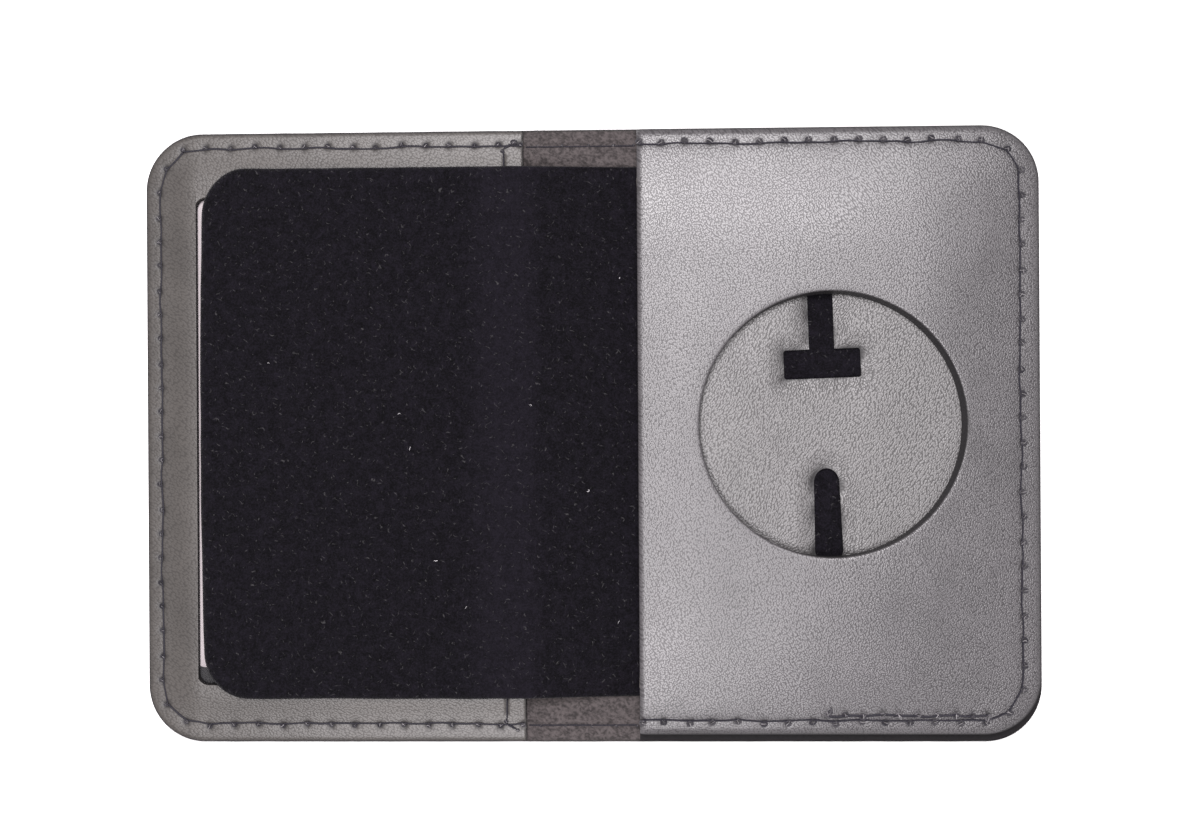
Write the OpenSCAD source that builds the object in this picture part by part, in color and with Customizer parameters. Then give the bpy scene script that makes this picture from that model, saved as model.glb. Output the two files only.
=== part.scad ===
// Bifold badge and ID case, laid open and flat.
// The ID half is at the left (-X), the badge half at the right (+X), and the flap lies over the ID window.
// Origin: middle of the case on its underside. +Z points up out of the open case.

/* [Leather] */
// Thickness of the outer cover
cover_t = 1.4; // [1:0.1:2]
// Thickness of the ID frame, the badge base and the badge face
leather_t = 1.1; // [0.8:0.1:1.4]
// Radius of the case's outer corners
corner_r = 10; // [8:0.5:13]

/* [Card pocket] */
// Width of the card
card_w = 54; // [52:0.1:56]
// Height of the card
card_h = 85.6; // [84:0.1:88]
// Thickness of the card
card_t = 0.76; // [0.5:0.01:0.9]
// Radius of the card's corners
card_r = 3.2; // [2:0.1:4]
// Clearance under and over the card
card_gap = 0.1; // [0.05:0.01:0.2]
// Room in the pocket left of the card
card_side_gap = 1.2; // [0.5:0.1:2]
// Room in the pocket above the card
card_top_gap = 0.5; // [0.3:0.1:1.5]
// Room in the pocket below the card
card_foot_gap = 6.1; // [4:0.1:8]
// Distance from the card to the open edge of the frame
card_mouth = 5.9; // [5:0.1:8]

/* [ID frame] */
// Leather from the case's left edge to the pocket
side_rim = 6.05; // [5.5:0.05:8]
// Leather from the case's top edge to the pocket
top_rim = 8.5; // [7.5:0.1:11]
// Leather from the case's bottom edge to the pocket
foot_rim = 7.3; // [6.5:0.1:10]
// Width by which the frame laps over the clear window sheet
window_lap = 3.2; // [2:0.1:4.5]
// Radius of the window's corners
window_r = 2; // [1:0.1:4]
// Thickness of the clear window sheet
window_t = 0.3; // [0.2:0.05:0.5]
// Distance from the frame's open edge to the seam beside the window
window_seam_x = 3.3; // [2.5:0.1:4]
// Distance from that seam to the window
window_seam_gap = 4.1; // [3:0.1:6]
// Width of the slope between the sewn rim and the raised frame
frame_slope = 1.6; // [1:0.1:2.5]
// Distance from the cover's edge to the edge of the frame
frame_set_back = 0.6; // [0.3:0.1:1]

/* [Spine] */
// Width of the bare spine between the two panels
spine_w = 20; // [17:0.5:24]
// Distance between the two lines that the spine folds on
fold_gap = 12; // [10:0.5:14]

/* [Badge panel] */
// Distance from the cover's edge to the edge of the badge panel
panel_set_back = 0.9; // [0.4:0.1:1.4]
// Distance by which the badge panel sits above the middle of the case
panel_rise = 0.5; // [0:0.1:0.8]
// Thickness of the pad
pad_t = 1.6; // [1:0.1:2.2]
// Width of the slope from the seam up to the flat of the padded face
face_slope = 4.5; // [3:0.1:6]
// Radius of the badge recess
recess_r = 23.3; // [20:0.1:25]
// Width of the panel between the spine and the recess
recess_near = 10.4; // [8:0.1:14]
// Width of the case between the recess and its right edge
recess_far = 13.35; // [12:0.05:17]
// Height of the middle of the recess above the middle of the case
recess_y = 1.8; // [-3:0.1:4]

/* [Badge slots] */
// Width of the T slot's stem
tee_stem_w = 4.4; // [3:0.1:6]
// Width of the T slot's bar
tee_bar_w = 13.4; // [10:0.1:16]
// Height of the T slot's bar
tee_bar_h = 5.1; // [3:0.1:6]
// Distance from the middle of the recess up to the T slot's bar
tee_rise = 8; // [5:0.1:10]
// Width of the U slot
u_slot_w = 5; // [3:0.1:7]
// Distance from the middle of the recess down to the U slot
u_slot_drop = 7.7; // [5:0.1:11]
// Length by which both slots run on under the pad
slot_run = 1; // [0.5:0.1:2]
// Distance by which the slots lie left of the middle of the recess
slot_shift = 1.2; // [0:0.1:2]
// Angle by which the slots are turned
slot_turn = 1.8; // [0:0.1:3]

/* [Velvet flap] */
// Thickness of one layer of velvet
velvet_t = 0.5; // [0.3:0.05:0.8]
// Thickness of the board inside the leaf
board_t = 0.5; // [0.3:0.05:0.8]
// Width of the leaf
leaf_w = 57.1; // [50:0.1:60]
// Height of the flap
flap_h = 93; // [88:0.5:96]
// Distance by which the flap sits above the middle of the case
flap_rise = 0.7; // [0:0.1:1.5]
// Radius of the leaf's outer corners
flap_r = 8; // [5:0.5:11]
// Distance from the leaf's edge to its board
board_inset = 1.2; // [0.8:0.1:2.5]
// Width of the soft crease between the board and the band
crease_w = 3.4; // [2.5:0.1:5]
// Gap between the leaf and the frame under it
leaf_gap = 0.1; // [0.05:0.05:0.3]
// Distance from the cover's edge to the edge of the velvet under the badge panel
anchor_inset = 4.6; // [4.2:0.1:6]

/* [Stitching] */
// Distance from the cover's edge to the seam
seam_inset = 3; // [2.5:0.1:3.4]
// Distance from one stitch to the next
stitch_pitch = 4.3; // [3.5:0.1:5]
// Width of the thread
thread_w = 0.45; // [0.3:0.05:0.6]
// Height of the thread over the leather
thread_h = 0.35; // [0.2:0.05:0.5]
// Width of the grooves that the stitches lie in
groove_w = 0.8; // [0.7:0.05:1.2]
// Gap between the stitches under the case and the surface it lies on
thread_clear = 0.05; // [0.02:0.01:0.1]

/* [Hidden] */
$fn = 96;

// Colours as the photograph shows them
hide_col = "#2b2826";
suede_col = "#5d5652";
frame_col = "#6f6a66";
face_col = "#a39ea0";
floor_col = "#8d8986";
velvet_col = "#1c1a1f";
board_col = "#8a7f70";
vinyl_col = [0.85, 0.85, 0.87, 0.35];
card_col = "#f2e9e9";
thread_col = "#141214";

// How far a cut runs past the solid it cuts
overrun = 1;
// Length of a stitch as a share of the pitch
stitch_share = 0.72;

// Across the case
pocket_w = card_side_gap + card_w + card_mouth;
id_half_w = side_rim + pocket_w;
badge_half_w = recess_near + 2 * recess_r + recess_far;
open_w = id_half_w + spine_w + badge_half_w;
left_x = -open_w / 2;
right_x = open_w / 2;
id_edge = left_x + id_half_w;
badge_edge = id_edge + spine_w;
pocket_x = left_x + side_rim;
card_x = pocket_x + card_side_gap;
window_x0 = pocket_x + window_lap;
window_x1 = id_edge - window_seam_x - window_seam_gap;
spine_margin = (spine_w - fold_gap) / 2;
first_fold = id_edge + spine_margin;
last_fold = badge_edge - spine_margin;
leaf_x = id_edge - leaf_w;
recess_mid_x = badge_edge + recess_near + recess_r;

// Up the case
pocket_h = card_foot_gap + card_h + card_top_gap;
case_h = foot_rim + pocket_h + top_rim;
foot_y = -case_h / 2;
head_y = case_h / 2;
pocket_y = foot_y + foot_rim;
card_y = pocket_y + card_foot_gap;
window_h = pocket_h - 2 * window_lap;
flap_y = flap_rise - flap_h / 2;

// Through the case
card_z = cover_t + card_gap;
window_z = card_z + card_t + card_gap;
pocket_top = window_z + window_t;
frame_rim_top = cover_t + leather_t;
frame_top = pocket_top + leather_t;
leaf_z = frame_top + leaf_gap;
board_z = leaf_z + velvet_t;
leaf_top_z = board_z + board_t;
anchor_t = 2 * velvet_t;
base_z = cover_t + anchor_t;
pad_z = base_z + leather_t;
face_z = pad_z + pad_t;
face_top = face_z + leather_t;
face_rim_top = pad_z + leather_t;

// Seams
seam_r = corner_r - seam_inset;
seam_y = head_y - seam_inset;
groove_d = thread_h + thread_clear;
stitch_l = stitch_share * stitch_pitch;
slope_start = seam_inset + groove_w + thread_w;
window_seam_at = id_edge - window_seam_x;
// The second row of the back-stitched stretch, and its ends along the bottom seam
back_row = 2.4 * thread_w;
back_reach_shares = [0.12, 0.5];
// Loose thread ends: length, and the angle they make with the seam they lie on
tail_l = 0.7 * stitch_pitch;
tail_turn = 25;

// A rectangle with round corners, from its low corner
module rounded_rect(x0, y0, w, h, r) {
    translate([x0 + r, y0]) square([w - 2 * r, h]);
    translate([x0, y0 + r]) square([w, h - 2 * r]);
    for (x = [x0 + r, x0 + w - r], y = [y0 + r, y0 + h - r])
        translate([x, y]) circle(r);
}

// The case's outline drawn in by a distance, kept between two places across the case
module case_slice(inset, from_x, to_x) {
    intersection() {
        rounded_rect(left_x + inset, foot_y + inset, open_w - 2 * inset, case_h - 2 * inset, corner_r - inset);
        translate([from_x, foot_y]) square([to_x - from_x, case_h]);
    }
}

// The line of the seam as a flat ring
module seam_ring(width, from_x, to_x) {
    difference() {
        case_slice(seam_inset - width / 2, from_x, to_x);
        case_slice(seam_inset + width / 2, from_x - overrun, to_x + overrun);
    }
}

// A stretch of the cover with the groove for its stitches under it
module cover_piece(from_x, to_x) {
    difference() {
        linear_extrude(cover_t) case_slice(0, from_x, to_x);
        translate([0, 0, -overrun]) linear_extrude(overrun + groove_d)
            seam_ring(groove_w, from_x - overrun, to_x + overrun);
    }
}

module cover_left() {
    color(hide_col) cover_piece(left_x, first_fold);
}

module cover_right() {
    color(hide_col) cover_piece(last_fold, right_x);
}

module spine() {
    color(suede_col) cover_piece(first_fold, last_fold);
}

// The ID frame: a sewn rim, and a raised part over the pocket that is open towards the spine
module id_frame() {
    color(frame_col) difference() {
        union() {
            translate([0, 0, cover_t]) linear_extrude(leather_t) case_slice(frame_set_back, left_x, id_edge);
            hull() {
                translate([0, 0, cover_t]) linear_extrude(leather_t) case_slice(slope_start, left_x, id_edge);
                translate([0, 0, cover_t]) linear_extrude(frame_top - cover_t)
                    case_slice(slope_start + frame_slope, left_x, id_edge);
            }
        }
        translate([pocket_x, pocket_y, cover_t - overrun])
            cube([pocket_w + overrun, pocket_h, pocket_top - cover_t + overrun]);
        translate([0, 0, cover_t]) linear_extrude(frame_top) rounded_rect(
            window_x0, pocket_y + window_lap, window_x1 - window_x0, window_h, window_r);
        translate([window_seam_at - groove_w / 2, pocket_y, frame_top - groove_d])
            cube([groove_w, pocket_h, groove_d + overrun]);
    }
}

module id_window() {
    color(vinyl_col) translate([pocket_x, pocket_y, window_z]) cube([pocket_w, pocket_h, window_t]);
}

module id_card() {
    color(card_col) translate([0, 0, card_z]) linear_extrude(card_t)
        rounded_rect(card_x, card_y, card_w, card_h, card_r);
}

// The badge panel's outline drawn in by a distance
module panel_slice(inset, from_x) {
    translate([0, panel_rise]) case_slice(panel_set_back + inset, from_x, right_x);
}

// The slots that a badge's pin and catch pass through
module badge_slots() {
    reach = recess_r + slot_run;
    translate([recess_mid_x - slot_shift, recess_y]) rotate(slot_turn) {
        translate([-tee_bar_w / 2, tee_rise]) square([tee_bar_w, tee_bar_h]);
        translate([-tee_stem_w / 2, tee_rise]) square([tee_stem_w, reach - tee_rise]);
        translate([-u_slot_w / 2, -reach]) square([u_slot_w, reach - u_slot_drop - u_slot_w / 2]);
        translate([0, -u_slot_drop - u_slot_w / 2]) circle(u_slot_w / 2);
    }
}

module recess_hole(from_z, height) {
    translate([recess_mid_x, recess_y, from_z - overrun]) cylinder(h = height + 2 * overrun, r = recess_r);
}

// The velvet's end under the badge panel
module anchor_slice() {
    intersection() {
        case_slice(anchor_inset, badge_edge, right_x);
        translate([badge_edge, flap_y]) square([badge_half_w, flap_h]);
    }
}

module badge_base() {
    color(floor_col) difference() {
        translate([0, 0, cover_t]) linear_extrude(pad_z - cover_t) panel_slice(0, badge_edge);
        translate([0, 0, cover_t - overrun]) linear_extrude(anchor_t + overrun) anchor_slice();
        translate([0, 0, cover_t]) linear_extrude(pad_z) badge_slots();
    }
}

module badge_pad() {
    color(board_col) difference() {
        translate([0, 0, pad_z]) linear_extrude(pad_t) panel_slice(slope_start + face_slope, badge_edge);
        recess_hole(pad_z, pad_t);
    }
}

// The padded face: flat over the pad, and drawn down to the seam on its three sewn sides
module badge_face() {
    color(face_col) difference() {
        union() {
            translate([0, 0, pad_z]) linear_extrude(leather_t) panel_slice(0, badge_edge);
            hull() {
                translate([0, 0, pad_z]) linear_extrude(leather_t)
                    panel_slice(slope_start - panel_set_back, badge_edge);
                translate([0, 0, pad_z]) linear_extrude(face_top - pad_z - leather_t / 4)
                    panel_slice(slope_start + face_slope / 2, badge_edge);
                translate([0, 0, pad_z]) linear_extrude(face_top - pad_z)
                    panel_slice(slope_start + face_slope, badge_edge);
            }
        }
        translate([0, 0, pad_z - overrun]) linear_extrude(pad_t + overrun)
            panel_slice(slope_start + face_slope, badge_edge - overrun);
        recess_hole(pad_z, face_top - pad_z);
    }
}

module flap_anchor() {
    color(velvet_col) translate([0, 0, cover_t]) linear_extrude(anchor_t) anchor_slice();
}

// The limp band that climbs over the spine from under the badge panel to the leaf
module flap_band() {
    color(velvet_col) translate([0, flap_y + flap_h, 0]) rotate([90, 0, 0]) linear_extrude(flap_h) polygon([
        [badge_edge, cover_t],
        [badge_edge, cover_t + anchor_t],
        [id_edge, leaf_z + anchor_t],
        [id_edge, leaf_z]
    ]);
}

// The leaf's outline drawn in by a distance, cut square a width short of the band
module leaf_slice(inset, short) {
    intersection() {
        rounded_rect(leaf_x + inset, flap_y + inset, leaf_w + flap_r, flap_h - 2 * inset, flap_r - inset);
        translate([leaf_x, flap_y]) square([leaf_w - short, flap_h]);
    }
}

module flap_velvet_back() {
    color(velvet_col) translate([0, 0, leaf_z]) linear_extrude(velvet_t) leaf_slice(0, 0);
}

module flap_board() {
    color(board_col) translate([0, 0, board_z]) linear_extrude(board_t) leaf_slice(board_inset, crease_w);
}

module flap_velvet_top() {
    color(velvet_col) translate([0, 0, leaf_top_z]) linear_extrude(velvet_t) leaf_slice(0, 0);
}

// One stitch, lying along X about its middle
module stitch(length) {
    linear_extrude(thread_h) {
        translate([-(length - thread_w) / 2, -thread_w / 2]) square([length - thread_w, thread_w]);
        for (x = [-1, 1]) translate([x * (length - thread_w) / 2, 0]) circle(thread_w / 2, $fn = 24);
    }
}

// Place and turn of the point s along a half's seam, from its start at the spine.
// a is the straight along the top, b the straight down the side, and side is -1 on the left half.
function seam_spot(s, a, b, side) =
    let (q = seam_r * PI / 2, deg = 180 / (PI * seam_r))
    s < a ? [side * s, 0, 0] :
    s < a + q ? let (t = (s - a) * deg) [side * (a + seam_r * sin(t)), -seam_r * (1 - cos(t)), -side * t] :
    s < a + q + b ? [side * (a + seam_r), -seam_r - (s - a - q), -side * 90] :
    s < a + 2 * q + b ? let (t = (s - a - q - b) * deg)
        [side * (a + seam_r * cos(t)), -(seam_r + b + seam_r * sin(t)), -side * (90 + t)] :
    [side * (2 * a + 2 * q + b - s), -(2 * seam_r + b), 180];

// The seam round one half, over the leather and in the groove under the cover
module half_seam(start_x, side, width, top_z) {
    a = width - corner_r;
    b = case_h - 2 * corner_r;
    full = 2 * a + PI * seam_r + b;
    count = round(full / stitch_pitch);
    for (i = [0 : count - 1]) {
        spot = seam_spot((i + 0.5) * full / count, a, b, side);
        translate([start_x + spot[0], seam_y + spot[1], 0]) rotate(spot[2])
            for (z = [top_z, thread_clear]) translate([0, 0, z]) stitch(stitch_l);
    }
}

// The top and bottom rows between two places on the bare spine, over and under it
module bare_rows(from_x, width) {
    count = max(1, round(width / stitch_pitch));
    for (i = [0 : count - 1], y = [-seam_y, seam_y], z = [cover_t, thread_clear])
        translate([from_x + (i + 0.5) * width / count, y, z]) stitch(stitch_share * width / count);
}

module seam_left() {
    color(thread_col) {
        half_seam(id_edge, -1, id_half_w, frame_rim_top);
        bare_rows(id_edge, spine_margin);
    }
}

module seam_right() {
    color(thread_col) {
        half_seam(badge_edge, 1, badge_half_w, face_rim_top);
        bare_rows(last_fold, spine_margin);
    }
}

module spine_seam() {
    color(thread_col) bare_rows(first_fold, fold_gap);
}

// The seam beside the window, in its groove
module window_seam() {
    count = floor(pocket_h / stitch_pitch);
    color(thread_col) for (i = [0 : count - 1])
        translate([window_seam_at, pocket_y + (i + 0.5) * pocket_h / count, frame_top - groove_d])
            rotate(90) stitch(stitch_l);
}

// The second row of stitches where the edge seam ends
module backstitch() {
    straight = badge_half_w - corner_r;
    reach = back_reach_shares * straight;
    count = round((reach[1] - reach[0]) / stitch_pitch);
    color(thread_col) for (i = [0 : count - 1])
        translate([right_x - corner_r - reach[0] - i * stitch_pitch, -seam_y + back_row, face_rim_top])
            stitch(stitch_l);
}

// One loose end, lying flat from its start
module tail(x, y, z, angle) {
    translate([x, y, z]) rotate(angle) translate([tail_l / 2, 0, 0]) stitch(tail_l);
}

module thread_tails_left() {
    color(thread_col) {
        for (angle = [-tail_turn, 180 + tail_turn])
            tail(window_seam_at, seam_y, frame_rim_top + thread_h, angle);
        tail(window_seam_at, -seam_y, frame_rim_top + thread_h, -tail_turn);
    }
}

module thread_tail_right() {
    color(thread_col) tail(recess_mid_x, -seam_y, face_rim_top + thread_h, tail_turn);
}

cover_left();
spine();
cover_right();
id_frame();
id_window();
id_card();
badge_base();
badge_pad();
badge_face();
flap_anchor();
flap_band();
flap_velvet_back();
flap_board();
flap_velvet_top();
window_seam();
seam_left();
seam_right();
spine_seam();
backstitch();
thread_tails_left();
thread_tail_right();
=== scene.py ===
"""An open bifold badge and ID case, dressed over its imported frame.

Lengths are in millimetres while a mesh is shaped, and a finished piece is scaled to metres.
X runs across the open case from the ID half to the badge half, Y from its foot to its head, and Z up.
"""

import logging
import math
import random
from dataclasses import dataclass, field
from enum import Enum
from typing import Callable, Iterable, Optional, Sequence

import bmesh
import bpy
from mathutils import Matrix, Vector, noise
from mathutils.kdtree import KDTree
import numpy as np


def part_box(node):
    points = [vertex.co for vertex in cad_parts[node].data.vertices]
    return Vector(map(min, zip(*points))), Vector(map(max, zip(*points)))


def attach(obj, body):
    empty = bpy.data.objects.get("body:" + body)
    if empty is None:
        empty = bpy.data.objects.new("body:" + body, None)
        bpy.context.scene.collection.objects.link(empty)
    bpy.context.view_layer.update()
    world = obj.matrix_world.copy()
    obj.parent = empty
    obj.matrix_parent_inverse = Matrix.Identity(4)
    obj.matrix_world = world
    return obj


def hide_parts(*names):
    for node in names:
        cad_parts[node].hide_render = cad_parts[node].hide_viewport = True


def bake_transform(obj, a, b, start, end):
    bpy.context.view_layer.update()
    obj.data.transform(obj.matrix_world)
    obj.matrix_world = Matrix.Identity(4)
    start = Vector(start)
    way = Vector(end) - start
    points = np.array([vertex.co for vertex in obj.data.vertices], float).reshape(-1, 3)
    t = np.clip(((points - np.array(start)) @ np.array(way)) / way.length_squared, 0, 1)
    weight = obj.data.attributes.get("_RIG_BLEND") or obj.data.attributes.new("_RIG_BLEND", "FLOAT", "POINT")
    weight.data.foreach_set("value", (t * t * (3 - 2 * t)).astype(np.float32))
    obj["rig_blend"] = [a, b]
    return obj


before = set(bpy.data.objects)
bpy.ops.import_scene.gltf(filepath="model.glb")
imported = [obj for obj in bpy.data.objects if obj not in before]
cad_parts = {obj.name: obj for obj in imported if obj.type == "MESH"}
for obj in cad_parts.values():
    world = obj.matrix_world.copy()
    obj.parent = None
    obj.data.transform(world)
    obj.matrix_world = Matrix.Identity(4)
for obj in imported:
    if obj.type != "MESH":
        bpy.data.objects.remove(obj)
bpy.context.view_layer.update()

LOG = logging.getLogger("case")
MM = 0.001
PHOTO_WIDTH = 1200
PIXEL = 0.1765
MERGE = 1e-5
PAST_SEAM = 99.0
UP = Vector((0, 0, 1))
Colour = tuple[float, float, float]
Bend = tuple[str, str, float, float]


def ramp01(value: float, low: float, high: float) -> float:
    """Returns a smooth step from 0 at low to 1 at high."""
    t = min(max((value - low) / (high - low), 0.0), 1.0)
    return t * t * (3 - 2 * t)


def bell(distance: float, width: float) -> float:
    """Returns a bell curve of the distance."""
    return math.exp(-((distance / width) ** 2))


def swell(x: float, y: float, length: float, seed: float = 0.0) -> float:
    """Returns slow unevenness from -1 to 1 at a place, with waves of about that length."""
    return noise.noise(Vector((x / length, y / length, seed)))


def scaled(colour: Colour, share: float) -> Colour:
    """Returns a colour with each part times a share."""
    return tuple(share * part for part in colour)


def box_mm(node: str) -> tuple[Vector, Vector]:
    """Returns the lowest and the highest corner of a node of the frame, in millimetres."""
    low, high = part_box(node)
    return low / MM, high / MM


# Shader building


class Value:
    """A number in a shader, which Python's operators work on."""

    def __init__(self, tree: "ShaderTree", socket: bpy.types.NodeSocket) -> None:
        """Wraps a node's output.

        Args:
            tree: The tree that the node is in.
            socket: The output.
        """
        self.tree = tree
        self.socket = socket

    def _math(self, operation: str, first: object, second: object) -> "Value":
        """Returns a Math node's result."""
        return self.tree.node("ShaderNodeMath", {"operation": operation}, {0: first, 1: second})

    def __add__(self, other: object) -> "Value":
        """Returns the sum."""
        return self._math("ADD", self, other)

    def __sub__(self, other: object) -> "Value":
        """Returns the difference."""
        return self._math("SUBTRACT", self, other)

    def __rsub__(self, other: object) -> "Value":
        """Returns the difference from a number."""
        return self._math("SUBTRACT", other, self)

    def __mul__(self, other: object) -> "Value":
        """Returns the product."""
        return self._math("MULTIPLY", self, other)

    __radd__ = __add__
    __rmul__ = __mul__

    def least(self, other: object) -> "Value":
        """Returns the smaller of the two."""
        return self._math("MINIMUM", self, other)


class Field(Value):
    """A vector or a colour in a shader."""

    def _vector(self, operation: str, first: object, second: object) -> "Field":
        """Returns a Vector Math node's result."""
        made = self.tree.node("ShaderNodeVectorMath", {"operation": operation}, {0: first, 1: second})
        return Field(self.tree, made.socket)

    def __add__(self, other: object) -> "Field":
        """Returns the sum."""
        return self._vector("ADD", self, other)

    def __sub__(self, other: object) -> "Field":
        """Returns the difference."""
        return self._vector("SUBTRACT", self, other)

    def __mul__(self, other: object) -> "Field":
        """Returns the product, by each part."""
        factor = other if isinstance(other, (Value, tuple)) else (other, other, other)
        return self._vector("MULTIPLY", self, factor)

    def sheared(self) -> "Field":
        """Returns the place turned a quarter and sheared by its height, so flat patterns mark walls too."""
        return self._vector("CROSS_PRODUCT", self, (1.3, -1.0, 1.0))


class ShaderTree:
    """One material's node tree, built by expressions."""

    def __init__(self, name: str) -> None:
        """Starts an empty material.

        Args:
            name: The material's name.
        """
        self.material = bpy.data.materials.new(name)
        self.material.use_nodes = True
        self.material.node_tree.nodes.clear()

    def node(self, kind: str, settings: dict, inputs: dict, output: object = 0) -> Value:
        """Adds a node.

        Args:
            kind: The node's type.
            settings: What is set on the node first.
            inputs: The values or links of its sockets.
            output: The name or number of the output that is returned.

        Returns:
            The node's output.
        """
        made = self.material.node_tree.nodes.new(kind)
        for key, value in settings.items():
            setattr(made, key, value)
        for key, value in inputs.items():
            if isinstance(value, Value):
                self.material.node_tree.links.new(value.socket, made.inputs[key])
            else:
                made.inputs[key].default_value = value
        return Value(self, made.outputs[output])

    def place(self) -> Field:
        """Returns the object's own coordinates in millimetres."""
        where = self.node("ShaderNodeTexCoord", {}, {}, "Object")
        return Field(self, where.socket) * (1 / MM)

    def spot(self, name: str) -> Value:
        """Returns a mesh attribute's number."""
        return self.node("ShaderNodeAttribute", {"attribute_name": name}, {}, "Fac")

    def cloud(self, where: Value, size: float, detail: float = 2.0, rough: float = 0.5) -> Value:
        """Returns noise from 0 to 1 whose lumps are about that size."""
        inputs = {"Vector": where, "Scale": 1 / size, "Detail": detail, "Roughness": rough}
        return self.node("ShaderNodeTexNoise", {}, inputs)

    def drift(self, where: Value, size: float, reach: float) -> Field:
        """Pushes a place about by noise.

        Args:
            where: The place.
            size: The size of the noise's lumps.
            reach: How far the place is pushed at most.

        Returns:
            The pushed place.
        """
        inputs = {"Vector": where, "Scale": 1 / size, "Detail": 1.0}
        push = self.node("ShaderNodeTexNoise", {}, inputs, "Color")
        return Field(self, where.socket) + (Field(self, push.socket) - (0.5, 0.5, 0.5)) * (2 * reach)

    def cells(self, where: Value, size: float) -> Value:
        """Returns the distance to the nearest point of a flat pattern of cells of about that size."""
        inputs = {"Vector": where, "Scale": 1 / size, "Randomness": 0.85}
        return self.node("ShaderNodeTexVoronoi", {"voronoi_dimensions": "2D"}, inputs, "Distance")

    def turned(self, where: Value, angle: float, stretch: float) -> Field:
        """Returns a place turned about Z and squeezed along the turned Y."""
        inputs = {"Vector": where, "Rotation": (0, 0, math.radians(angle)), "Scale": (1, stretch, 1)}
        return Field(self, self.node("ShaderNodeMapping", {"vector_type": "TEXTURE"}, inputs).socket)

    def step(self, value: Value, low: float, high: float) -> Value:
        """Returns a smooth step of a value, from 0 at low to 1 at high."""
        inputs = {"Value": value, "From Min": low, "From Max": high}
        return self.node("ShaderNodeMapRange", {"interpolation_type": "SMOOTHSTEP"}, inputs)

    def mix(self, share: object, first: object, second: object) -> Field:
        """Returns a mix of two colours."""
        inputs = {0: share, 6: self._shade(first), 7: self._shade(second)}
        return Field(self, self.node("ShaderNodeMix", {"data_type": "RGBA"}, inputs, 2).socket)

    @staticmethod
    def _shade(colour: object) -> object:
        """Returns a colour with its fourth part, or the link as it is."""
        return colour if isinstance(colour, Value) else (*colour, 1)

    def bump(self, height: Value, depth: float) -> Value:
        """Returns a normal bent by a height from 0 to 1 that is that deep in millimetres."""
        inputs = {"Height": height, "Distance": depth * MM, "Strength": 1.0}
        return self.node("ShaderNodeBump", {}, inputs, "Normal")

    def surface(self, settings: dict) -> Value:
        """Returns a surface shader with those values or links."""
        return self.node("ShaderNodeBsdfPrincipled", {}, settings)

    def finish(self, surface: Value) -> bpy.types.Material:
        """Puts a surface out.

        Args:
            surface: The surface shader's output.

        Returns:
            The finished material.
        """
        made = self.material.node_tree.nodes.new("ShaderNodeOutputMaterial")
        self.material.node_tree.links.new(surface.socket, made.inputs["Surface"])
        return self.material


# Finishes


@dataclass(frozen=True)
class GrainLeather:
    """Embossed leather: small pebbles with valleys darkened between them, partly as lower polish and partly
    as painted shade, and dark painted edges.

    Attributes:
        name: The material's name.
        tone: The colour of the pebbles.
        gloss: The roughness of the pebbles.
        pit: The width of a pebble.
        depth: The depth of the valleys.
        lean: The angle that the pebbles are drawn out at, in degrees.
        drawn: How far they are drawn out.
        shine: The specular level.
        open: Where a valley begins, as a share of the pebble's width.
        fine: The share of fine noise in the relief.
        contrast: How far the valleys are darkened, as painted shade between the pebbles over their lower
            polish.
        edge: The colour of the painted edges and the holes, and of the painted shade in the valleys, round
            the slots and by the recess wall.
    """

    name: str
    tone: Colour
    gloss: float
    pit: float
    depth: float
    lean: float = 35.0
    drawn: float = 0.4
    shine: float = 0.7
    open: float = 0.5
    fine: float = 0.22
    contrast: float = 0.5
    edge: Colour = (0.012, 0.011, 0.012)

    def material(self) -> bpy.types.Material:
        """Builds the leather's nodes.

        Returns:
            The material.
        """
        tree = ShaderTree(self.name)
        place = tree.place()
        stress = tree.spot("stress")
        dark = tree.spot("dark").least(1.0)
        slow = tree.drift(place, 12.0, 0.9)
        narrow = self.pit / math.sqrt(1 + self.drawn)
        pushed = tree.drift(slow.sheared(), self.pit * 2.2, self.pit * 0.3)
        pebble = tree.cells(tree.turned(pushed, self.lean, 1 + self.drawn), narrow)
        crease = tree.cloud(tree.turned(slow, self.lean + 90, 2.6), self.pit * 1.6, 2.0, 0.6)
        fine = tree.cloud(place, self.pit * 0.45, 2.0, 0.6)
        valley = tree.step(pebble + (crease - 0.5) * 0.14, self.open - 0.26, self.open + 0.22)
        valley = valley * (1 - dark * 0.8)
        height = (1 - valley) * (0.7 + stress * 1.3) + fine * self.fine + crease * (0.2 + stress * 0.15)
        mottle = tree.cloud(place, 14.0, 3.0, 0.6)
        shade = tree.mix(tree.step(mottle, 0.3, 0.7), scaled(self.tone, 0.85), scaled(self.tone, 1.12))
        lit = tree.surface({
            "Base Color": tree.mix(dark, shade, self.edge),
            "Roughness": self.gloss + (mottle - 0.5) * 0.08 + dark * 0.15,
            "Specular IOR Level": self.shine,
            "Normal": tree.bump(height, self.depth),
        })
        # The valleys mix towards this dark, dull surface: painted shade between the pebbles, with their
        # lower polish.
        deep = tree.surface({"Base Color": (*self.edge, 1), "Roughness": 0.85, "Specular IOR Level": 0.1})
        # The dark marks mix it in too: painted edges and holes, and painted shade round the slots and by the
        # recess wall.
        share = (valley * self.contrast * (0.5 + fine) + dark * 0.6).least(1.0)
        return tree.finish(tree.node("ShaderNodeMixShader", {}, {0: share, 1: lit, 2: deep}))


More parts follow.
